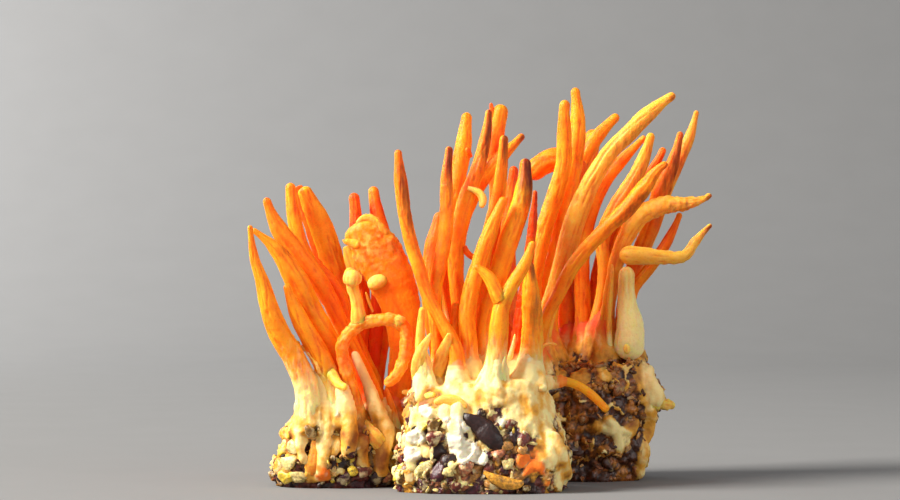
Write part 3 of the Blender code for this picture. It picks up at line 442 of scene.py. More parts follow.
class Spine:
    """A stalk's centre line with its ring axes and half widths, at every ring of its skin from root to tip.

    Its root runs on by the sink into what it grows from, and is wider by the flare, which fades over the reach.
    """

    def __init__(self, centres, wide, deep, sink=0.0, flare=0.0, reach=1.0, round_root=False):
        rows = np.column_stack((centres, wide, deep))
        if sink:
            down = centres[0] - centres[1]
            rows = np.vstack((rows[0], rows))
            rows[0, :3] += down / np.linalg.norm(down) * sink
        self.resample(rows, round_root)
        self.find_axes()
        rise = np.clip(1 - (self.along - sink) / reach, 0, 1)
        self.wide = self.wide * (1 + flare * rise ** 2)
        self.deep = self.deep * (1 + flare * rise ** 2)

    def resample(self, rows, round_root):
        """Rings along the smooth curve through the centres, drawn together where the tip is rounded off."""
        steps = np.linalg.norm(np.diff(rows[:, :3], axis=0), axis=1)
        along = np.concatenate(([0.0], np.cumsum(steps)))
        slopes = np.gradient(rows, along, axis=0)
        end = along[-1]
        blunt = min(max(rows[-1, 4] * TIP_LENGTH, LEAST_TIP), end / 3)
        turns = np.linspace(0, 1, DOME_RINGS) * math.pi / 2 * DOME_TURN
        body = np.linspace(0, end - blunt, max(6, round((end - blunt) / SPINE_STEP)) + 1)
        at = np.concatenate((body, end - blunt + blunt * np.sin(turns[1:])))
        size = np.concatenate((np.ones(len(body)), np.cos(turns[1:])))
        if round_root:
            start = min(rows[0, 4] * ROOT_LENGTH, end / 3)
            at = np.concatenate((start * (1 - np.sin(turns[:0:-1])), at[at > start]))
            size = np.concatenate((np.cos(turns[:0:-1]), size[-(len(at) - len(turns) + 1):]))
        first = np.clip(np.searchsorted(along, at, side="right") - 1, 0, len(along) - 2)
        span = (along[first + 1] - along[first])[:, None]
        u = (at - along[first])[:, None] / span
        start = (1 + 2 * u) * (1 - u) ** 2 * rows[first] + u * (1 - u) ** 2 * span * slopes[first]
        finish = u ** 2 * (3 - 2 * u) * rows[first + 1] + u ** 2 * (u - 1) * span * slopes[first + 1]
        rows = start + finish
        self.along = at
        self.to_tip = end - at
        self.centres = rows[:, :3]
        self.wide = np.maximum(rows[:, 3], LEAST_HALF) * size
        self.deep = np.maximum(rows[:, 4], LEAST_HALF) * size

    def find_axes(self):
        """The ring axes: one in the plane of the front view, one across it."""
        tangents = np.gradient(self.centres, self.along, axis=0)
        tangents /= np.linalg.norm(tangents, axis=1)[:, None]
        side = np.cross(tangents, INWARDS)
        self.side = side / np.linalg.norm(side, axis=1)[:, None]
        self.inwards = np.cross(self.side, tangents)


def spine_of(node, *more):
    """The spine of a stalk, measured on the rings of its solid, with its sink, flare, reach and round root."""
    rings = rings_of(node)
    centres = np.array([ring.mean(axis=0) for ring in rings])
    tangents = np.gradient(centres, axis=0)
    halves = np.zeros((2, len(rings)))
    for i in range(1, len(rings) - 1):
        side = np.cross(tangents[i], INWARDS)
        side /= np.linalg.norm(side)
        inwards = np.cross(side, tangents[i])
        inwards /= np.linalg.norm(inwards)
        halves[:, i] = [np.abs((rings[i] - centres[i]) @ axis).max() for axis in (side, inwards)]
    # The first and last rings are points, and the next ones draw in towards them
    halves[:, 0] = halves[:, 2]
    halves[:, -1] = halves[:, -3]
    keep = [0, *range(2, len(rings) - 2), len(rings) - 1]
    return Spine(centres[keep], *halves[:, keep], *more)


def sight_point(place, depth):
    """The point at a depth y on the line of sight through a place of the front view."""
    scale = (depth - EYE.y) / (READING_DEPTH - EYE.y)
    return Vector((EYE.x + (place[0] - EYE.x) * scale, depth, EYE.z + (place[1] - EYE.z) * scale))


def search_tree(node):
    """A search tree over a node's solid, in mm."""
    shell = merged_shell(node)
    bmesh.ops.scale(shell, vec=(1 / MM,) * 3, verts=shell.verts)
    tree = BVHTree.FromBMesh(shell)
    shell.free()
    return tree


def seen_on(tree, place):
    """Where the line of sight through a place meets a solid, or comes nearest to it, and the way out there."""
    level = sight_point(place, READING_DEPTH)
    spot, normal, _, _ = tree.ray_cast(EYE, (level - EYE).normalized())
    if spot is None:
        spot, normal, _, _ = tree.find_nearest(level)
    return spot, normal


def new_tree(name, inputs):
    """A Geometry Nodes tree with named inputs and a geometry output, its inputs and what adds nodes to it."""
    tree = bpy.data.node_groups.new(name, "GeometryNodeTree")
    for socket, kind in inputs.items():
        tree.interface.new_socket(socket, in_out="INPUT", socket_type="NodeSocket" + kind)
    tree.interface.new_socket("Geometry", in_out="OUTPUT", socket_type="NodeSocketGeometry")
    add = partial(add_node, tree)
    return tree, add("NodeGroupInput").outputs, add


def skin_tree():
    """Geometry Nodes that sweep a skin along a spine, with lengthwise furrows, puckers and swellings."""
    tree, given, add = new_tree("stalk_skin", {
        "Spine": "Geometry", "Sides": "Int", "Furrow Depth": "Float", "Pucker Depth": "Float",
        "Swell": "Float", "Crumb Height": "Float", "Seed": "Float", "Material": "Material"})
    made = {name: add(READ, {"Name": name}, data_type=kind)
            for kind, names in (("FLOAT", ("wide", "flat", "along", "rough", "stain")),
                                ("FLOAT_VECTOR", ("centre", "side", "inwards")))
            for name in names}
    here = add("GeometryNodeInputPosition")
    line = add("GeometryNodeMeshToCurve", {"Mesh": given["Spine"]})
    line = add(STORE, {"Geometry": line, "Name": "centre", "Value": here}, data_type="FLOAT_VECTOR")
    circle = add("GeometryNodeCurvePrimitiveCircle", {"Resolution": given["Sides"], "Radius": 1.0})
    skin = add("GeometryNodeCurveToMesh", {"Curve": line, "Profile Curve": circle, "Scale": made["wide"],
                                           "Fill Caps": True})
    # Where a point lies on its ring, in ring widths, and how far up the stalk
    out = add(VECTOR, (here, made["centre"]), operation="SUBTRACT")
    for name, axis in (("across", "side"), ("through", "inwards")):
        reach = add(VECTOR, (out, made[axis]), operation="DOT_PRODUCT")
        made[name] = add(MATH, (reach, made["wide"]), operation="DIVIDE")
    up = add(MATH, (made["along"], given["Seed"]), operation="ADD")
    ring = add("ShaderNodeCombineXYZ", (made["across"], made["through"], up))
    # Furrows run lengthwise, puckers crosswise, and swellings are longer than they are wide
    for name, stretch, detail in (("furrows", (1.3, 1.3, 0.045), 1.0), ("puckers", (0.55, 0.55, 1.1), 3.0),
                                  ("swellings", (0.6, 0.6, 0.2), 1.0)):
        where = add(VECTOR, (ring, stretch), operation="MULTIPLY")
        wave = add(NOISE, {"Vector": where, "Scale": 1.0, "Detail": detail})
        made[name] = add(MATH, (wave, 0.5), operation="SUBTRACT")
    where = add(VECTOR, {0: here, "Scale": 1 / MM}, operation="SCALE")
    made["crumbs"] = add("ShaderNodeTexVoronoi", {"Vector": where, "Scale": 0.8, "Smoothness": 0.3},
                         feature="SMOOTH_F1")
    off = add(MATH, (made["furrows"],), operation="ABSOLUTE")
    made["crease"] = add(SPREAD, {"Value": off, "From Max": 0.045, "To Min": 1.0, "To Max": 0.0},
                         interpolation_type="SMOOTHSTEP")
    # Stains lie on the stalk's own left flank and in front, the flank turned from the key light: the browning is
    # stain, its one-sidedness painted shade
    left = add(MATH, (made["across"], -0.8), operation="MULTIPLY")
    left = add(MATH, (made["through"], -0.6, left), operation="MULTIPLY_ADD")
    made["flank"] = add(SPREAD, {"Value": left, "From Min": -0.6, "From Max": 0.7},
                        interpolation_type="SMOOTHSTEP")
    for name, how, first, second in (
            ("groove", "MULTIPLY", "crease", given["Furrow Depth"]),
            ("pucker", "MULTIPLY", "puckers", given["Pucker Depth"]),
            ("pucker", "MULTIPLY", "pucker", 2.5),
            ("swell", "MULTIPLY", "swellings", given["Swell"]),
            ("crumb", "SUBTRACT", 0.45, "crumbs"),
            ("crumb", "MULTIPLY", "crumb", "rough"),
            ("crumb", "MULTIPLY", "crumb", given["Crumb Height"]),
            ("size", "SUBTRACT", 1.0, "groove"),
            ("size", "ADD", "size", "pucker"),
            ("size", "ADD", "size", "swell"),
            ("size", "MULTIPLY", "size", "wide"),
            ("size", "ADD", "size", "crumb"),
            ("across", "MULTIPLY", "across", "size"),
            ("through", "MULTIPLY", "through", "size"),
            ("through", "MULTIPLY", "through", "flat"),
            ("stain", "MULTIPLY", "stain", "flank")):
        made[name] = add(MATH, (made.get(first, first), made.get(second, second)), operation=how)
    spot = made["centre"]
    for name, axis in (("across", "side"), ("through", "inwards")):
        reach = add(VECTOR, {0: made[axis], "Scale": made[name]}, operation="SCALE")
        spot = add(VECTOR, (spot, reach), operation="ADD")
    for name in ("crease", "stain"):
        skin = add(STORE, {"Geometry": skin, "Name": name, "Value": made[name]}, data_type="FLOAT")
    skin = add(MOVE, {"Geometry": skin, "Position": spot})
    skin = add("GeometryNodeSetShadeSmooth", {"Geometry": skin})
    skin = add("GeometryNodeRealizeInstances", {"Geometry": skin})
    skin = add("GeometryNodeSetMaterial", {"Geometry": skin, "Material": given["Material"]})
    add("NodeGroupOutput", (skin,))
    return tree


def grow(thing, name, maker, values):
    """The plain mesh that a Geometry Nodes tree makes of an object, its inputs given by their names."""
    modifier = thing.modifiers.new(name, "NODES")
    modifier.node_group = bpy.data.node_groups.get(name) or maker()
    for item in modifier.node_group.interface.items_tree:
        if item.in_out == "INPUT" and item.name in values:
            modifier[item.identifier] = values[item.name]
    return evaluated_mesh(thing)


def evaluated_mesh(thing):
    """A plain mesh of an object with its modifiers applied, and the object itself gone."""
    graph = bpy.context.evaluated_depsgraph_get()
    data = bpy.data.meshes.new_from_object(thing.evaluated_get(graph), depsgraph=graph)
    data.name = thing.name
    bpy.data.objects.remove(thing, do_unlink=True)
    return data


def link_mesh(name, data):
    """An object of that mesh, linked to the scene."""
    thing = bpy.data.objects.new(name, data)
    bpy.context.scene.collection.objects.link(thing)
    return thing


def mesh_from(shell, name):
    """A bmesh as a mesh, and the bmesh itself gone."""
    data = bpy.data.meshes.new(name)
    shell.to_mesh(data)
    shell.free()
    return data


def set_attributes(data, attributes, kind="FLOAT"):
    """Store values for each point of a mesh, by their names."""
    key = {"FLOAT": "value", "FLOAT_VECTOR": "vector", "FLOAT_COLOR": "color"}[kind]
    for name, values in attributes.items():
        attribute = data.attributes.new(name, kind, "POINT")
        attribute.data.foreach_set(key, np.asarray(values, dtype=np.float32).ravel())


def spots_along(spine, spots):
    """How strong a stalk's stains or crumbs are at each point of its spine."""
    strengths = np.zeros(len(spine.along))
    for middle, half, strength in spots:
        strengths = np.maximum(strengths, strength * np.exp(-((spine.to_tip - middle) / half) ** 2))
    return strengths


def skin_mesh(name, spine, looks, seed, kind=""):
    """The skin of one stalk or husk as a plain mesh, grown on a line of points with all that it reads."""
    flesh = bpy.context.scene.cordyceps_flesh
    count = len(spine.along)
    data = bpy.data.meshes.new("spine")
    data.from_pydata([tuple(point * MM) for point in spine.centres], [(i, i + 1) for i in range(count - 1)], [])
    set_attributes(data, {
        "wide": spine.wide * MM, "flat": spine.deep / spine.wide, "along": spine.along,
        "pale": np.clip(1 - spine.along / looks.pale, 0, 1) if looks.pale else np.zeros(count),
        "red": np.full(count, looks.red), "yellow": np.full(count, looks.yellow),
        "stain": spots_along(spine, looks.stains), "rough": spots_along(spine, looks.crumbs)})
    set_attributes(data, {"side": spine.side, "inwards": spine.inwards}, "FLOAT_VECTOR")
    if kind:
        material = material_for("cooked_grain", grain_material)
        set_attributes(data, {"tint": [linear(GRAIN_KINDS[kind])] * count}, "FLOAT_COLOR")
    elif (spine.wide * spine.deep).max() < THIN_FLESH ** 2:
        material = material_for("thin_cordyceps_flesh", thin_flesh_material)
    else:
        material = material_for("cordyceps_flesh", flesh_material)
    sides = max(LEAST_SIDES, round(2 * math.pi * spine.wide.max() / SPINE_STEP * FACE_LENGTH))
    return grow(link_mesh(name, data), "stalk_skin", skin_tree, {
        "Sides": min(sides, flesh.most_sides), "Furrow Depth": looks.furrow, "Pucker Depth": looks.pucker,
        "Swell": flesh.swell, "Crumb Height": flesh.crumb_height, "Seed": float(seed), "Material": material})


def joined_mesh(name, meshes):
    """One mesh of several, their attributes and materials kept."""
    if len(meshes) == 1:
        return meshes[0]
    things = [link_mesh(name, data) for data in meshes]
    with bpy.context.temp_override(active_object=things[0], selected_editable_objects=things,
                                   object=things[0], selected_objects=things):
        bpy.ops.object.join()
    data = things[0].data
    bpy.data.objects.remove(things[0], do_unlink=True)
    return data


def stalk_names(side):
    """The stalks of one lump, without those that grow from another stalk."""
    return [name for name in LOOKS if name.startswith(side) and name not in sum(FUSED.values(), ())]


def dress_stalk(node, seed):
    """Make the skin of a stalk and of those that grow from it, and put it in their solids' place."""
    guests = FUSED.get(node, ())
    looks = LOOKS[node]
    flare = 0.0 if looks.round_root else bpy.context.scene.cordyceps_flesh.flare
    spine = spine_of(node, looks.sink, flare, FLARE_REACH[node.split("_")[0]], looks.round_root)
    meshes = [skin_mesh(node + "_skin", spine, looks, seed * STALK_SEED)]
    for guest in guests:
        spine = spine_of(guest, GUEST_SINK, GUEST_FLARE, GUEST_REACH)
        meshes.append(skin_mesh(guest + "_skin", spine, LOOKS[guest], seed * STALK_SEED + GUEST_SEED))
    piece = link_mesh(node + "_skin", joined_mesh(node + "_skin", meshes))
    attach(piece, "root")
    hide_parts(node, *guests)


@dataclass
class Crust:
    """How a lump's crust lies.

    Felt comes down to about felt_edge. Collars climb the stalks' roots: mm of height and how far they spread.
    A kind's patches are (x, z, reach, strength), and a strand is a root down the face: (x, z, width) points.
    A listed grain is x, z, its length, width and thickness, its turn in degrees and its kind.
    """

    lump: str
    felt_edge: float
    felt_wave: float
    amber: float
    collar: tuple
    web: float
    film: float
    seed: int
    spacing: float
    crumbs: int
    kinds: tuple
    crumb_kinds: tuple
    patches: dict
    strands: list
    grains: list


CRUSTS = (
    Crust(
        "middle_lump", felt_edge=21.5, felt_wave=2.5, amber=0.3, collar=(9, 1.2), web=0.6, film=0.8, seed=3,
        spacing=3.9, crumbs=420,
        kinds=("red_brown", "tan_pink", "tan", "purple", "red_brown", "gold", "dark", "olive"),
        crumb_kinds=("red_brown", "pale", "tan", "purple", "pale", "gold", "tan_pink", "yellow"),
        patches={
            "felt": [(13, 16, 3.4, 1), (16, 12.5, 3.8, 1), (18.5, 10, 3.8, 1),
                (13.8, 21.5, 7, 1), (18.8, 15, 6, 1), (16, 9, 4.5, 1), (8.8, 18.5, 4.5, 1),
                (19.5, 4, 5, 1), (-3.7, 20.5, 3.5, 1), (-19.2, 17.8, 2.5, 0.9),
                (-20.5, 11, 2.5, 0.9), (-16, 17, 2.5, 0.8), (-8.5, 18, 3, 0.9),
                (-15, 9, 2.2, 0.8), (2.5, 12.5, 2, 0.7), (0.5, 10.5, 2.2, 0.8), (10.5, 13.6, 2.6, 1)],
            "bare": [(-12.4, 15.2, 1.6, 1), (-12.6, 11.8, 2.4, 1), (-3, 12, 1.4, 0.9),
                (9.8, 10.5, 2.2, 1), (12, 1, 2.4, 0.6), (-17.5, 14.5, 1, 0.9),
                (-20, 8, 1, 0.9)],
            "glow": [(9.3, 6.5, 1.8, 1), (12.6, 4, 2.6, 1), (15, 1.5, 2.4, 0.6),
                (12, 7.5, 1.6, 0.6)],
            "amber": [(18.8, 11.5, 3.6, 1), (13, 8.5, 2.5, 0.9), (19.5, 6, 4.2, 1),
                (-19.5, 18, 4, 0.6), (-13.5, 21.5, 3, 0.9)],
            "white": [(-17.9, 7.8, 2.2, 1), (-16.4, 12.5, 2.2, 0.9), (-14.2, 19, 2, 0.8),
                (-9.7, 15.2, 1.8, 1), (-9.2, 11.5, 1.6, 1), (-6.2, 11.5, 2.2, 1), (-4.2, 8.8, 3.2, 1),
                (-1.2, 7, 2, 1), (-5.4, 15.4, 2.2, 0.8), (3.4, 15.6, 1.6, 0.7), (-7.4, 9, 1.8, 0.8)]},
        strands=[
            [(-17, 18.5, 1.6), (-17.6, 14, 1.8), (-18.2, 9, 1.4), (-18.6, 5, 1)],
            [(-6, 21.5, 1.8), (-6.8, 17, 1.8), (-7.4, 12.5, 1.4), (-7, 9, 1)],
            [(-9.9, 20, 1.4), (-10.1, 16, 1.4), (-10.6, 11.5, 1)],
            [(16, 13, 2), (18.6, 8, 2.2), (20, 2.5, 2.2)]],
        grains=[
            (-12.4, 15.4, 4.8, 3.2, 2.4, 50, "olive"), (-12.6, 12, 5, 3.4, 2.4, 15, "red_brown"),
            (5.4, 10, 3.8, 2.7, 2.2, -5, "tan"), (3.5, 8, 3.6, 2.9, 2.4, 20, "tan_pink"),
            (9.8, 11.8, 4, 3, 1.8, 80, "red_brown"), (9.6, 9, 3, 2.6, 2, 40, "tan"),
            (-11.4, 3.6, 6, 3.6, 2, 70, "purple"), (-9.2, 6.4, 4.2, 3, 2, 20, "dark"),
            (-4.6, 4.4, 4.2, 3.2, 2.4, 35, "tan_pink"), (-8.8, 3.8, 3.6, 2.8, 2.2, 60, "pale"),
            (1.2, 4.6, 3.6, 3, 2.2, 80, "red_brown"), (5.8, 5.4, 3.4, 2.7, 2.2, 10, "pale"),
            (-21.6, 3.2, 5, 3.2, 1.2, 80, "yellow"), (-18.5, 2.6, 4.6, 3, 1.4, 75, "gold"),
            (-15, 4, 6, 4, 1.4, 48, "pale")]),
    Crust(
        "left_lump", felt_edge=14, felt_wave=2.5, amber=0.8, collar=(11, 1.1), web=0.5, film=0.5, seed=5,
        spacing=4.2, crumbs=380,
        kinds=("purple", "dark", "red_brown", "dark", "olive", "red_brown"),
        crumb_kinds=("yellow", "pale", "olive", "gold", "dark", "olive", "tan"),
        patches={
            "felt": [(-47, 14, 5, 1), (-47.9, 7.8, 3.4, 0.9), (-43, 3, 2.5, 1),
                (-49.5, 3.5, 2.5, 0.8)],
            "amber": [(-48.5, 11, 3, 0.7), (-28, 8, 4, 0.8), (-31.5, 13, 5, 0.7)],
            "bare": [(-44.9, 8, 1.8, 1), (-47, 4, 2, 1), (-36.5, 6, 2.4, 0.8),
                (-33.5, 7.5, 2, 0.7)],
            "glow": [(-40, 3.5, 2.6, 1)]},
        strands=[
            [(-42, 30, 3), (-40.2, 22, 3.4), (-39.6, 14, 3.4), (-40.2, 8, 3.2), (-40.8, 3, 2.4)],
            [(-36, 26, 3), (-34.4, 19, 3.2), (-33.6, 12, 3), (-34.6, 7, 2.2)],
            [(-32.9, 34, 2.2), (-29, 25, 2.8), (-26.4, 18, 3.2), (-25.4, 13.5, 3.8), (-26, 8, 2.8),
            (-26, 3, 1.8)],
            [(-24.5, 22, 2), (-22.8, 16, 2.4), (-22.2, 9, 2.2), (-23, 5, 1.6)],
            [(-37, 12, 1.6), (-37.4, 8, 1.8), (-38.2, 4.5, 1.4)],
            [(-45.5, 16, 2), (-45.8, 11, 2), (-45.2, 6, 1.4)],
            [(-30.5, 12.5, 2.2), (-31, 8, 1.8), (-30.2, 5, 1.2)]],
        grains=[
            (-32.8, 3.6, 3.2, 2.5, 2.2, 10, "yellow"), (-30.2, 3.6, 4.6, 3.2, 2.2, 10, "red_brown"),
            (-38.2, 4.2, 4, 3.2, 2, 60, "gold"), (-35, 1.8, 4.4, 3, 2, 35, "purple"),
            (-26.6, 2.4, 4.4, 3, 2, 20, "dark"), (-24, 2.2, 4.6, 3, 2, -20, "tan_pink"),
            (-50, 9.5, 5.4, 4.2, 2.4, 60, "yellow"), (-47.6, 9.6, 4.4, 3.4, 2, -30, "pale"),
            (-51.2, 13.4, 4.6, 3.6, 2, 60, "gold"), (-48.4, 13.8, 5, 3.8, 2, 20, "yellow"),
            (-49, 5.8, 5, 3.6, 2.2, 30, "pale"), (-51.4, 5, 4.6, 3.6, 2.2, 80, "gold"),
            (-46.4, 2.4, 4.8, 3.2, 2, 0, "pale"), (-49.6, 2.2, 4.8, 3.4, 2, 15, "yellow")]),
    Crust(
        "right_lump", felt_edge=30.5, felt_wave=3, amber=0.9, collar=(16, 1.5), web=0.3, film=0.25,
        seed=9, spacing=7, crumbs=520,
        # Browns darkened in part as painted shade, for the shade over this lump
        kinds=("bark", "shaded_dark_brown", "bark", "umber", "bark", "shaded_dark_brown", "umber"),
        crumb_kinds=("umber", "bark", "shaded_dark_brown", "umber", "tan", "bark"),
        patches={
            "felt": [(40.1, 27.8, 4, 0.9), (42.6, 21.5, 3.6, 0.8), (46.8, 20.4, 3.4, 1),
                (41.3, 14, 2.4, 0.8), (40, 9, 2, 0.8), (38.8, 4, 2, 0.8), (32.6, 14, 2.6, 0.7),
                (34.5, 11, 2.2, 0.7), (29, 15.5, 2.2, 0.55), (26.3, 10.2, 2, 0.5),
                (25, 6.5, 1.6, 0.5), (24, 27.5, 3, 0.8), (18, 27.5, 3, 0.7),
                (30, 28, 2.6, 0.8)],
            "amber": [(46.8, 20.4, 3, -0.4), (43.3, 25.2, 2.4, -0.8), (32.6, 13, 4, -1.2)],
            "bare": [(36.5, 21, 2.4, 1)]},
        strands=[
            [(40.5, 30, 2.4), (41.6, 25, 2.6), (43, 21.5, 2.4), (46, 20, 1.6)],
            [(41.5, 20, 1.6), (40.8, 14, 1.8), (39.6, 8, 1.6), (38.8, 3, 1.4)],
            [(30.5, 17, 0.9), (33, 13.5, 1.2), (34, 9.5, 0.9)],
            [(28, 15, 0.8), (31.5, 14, 1), (36, 13.5, 0.8)]],
        grains=[
            (33.5, 24.5, 5, 3, 2, 60, "bark")]),
)

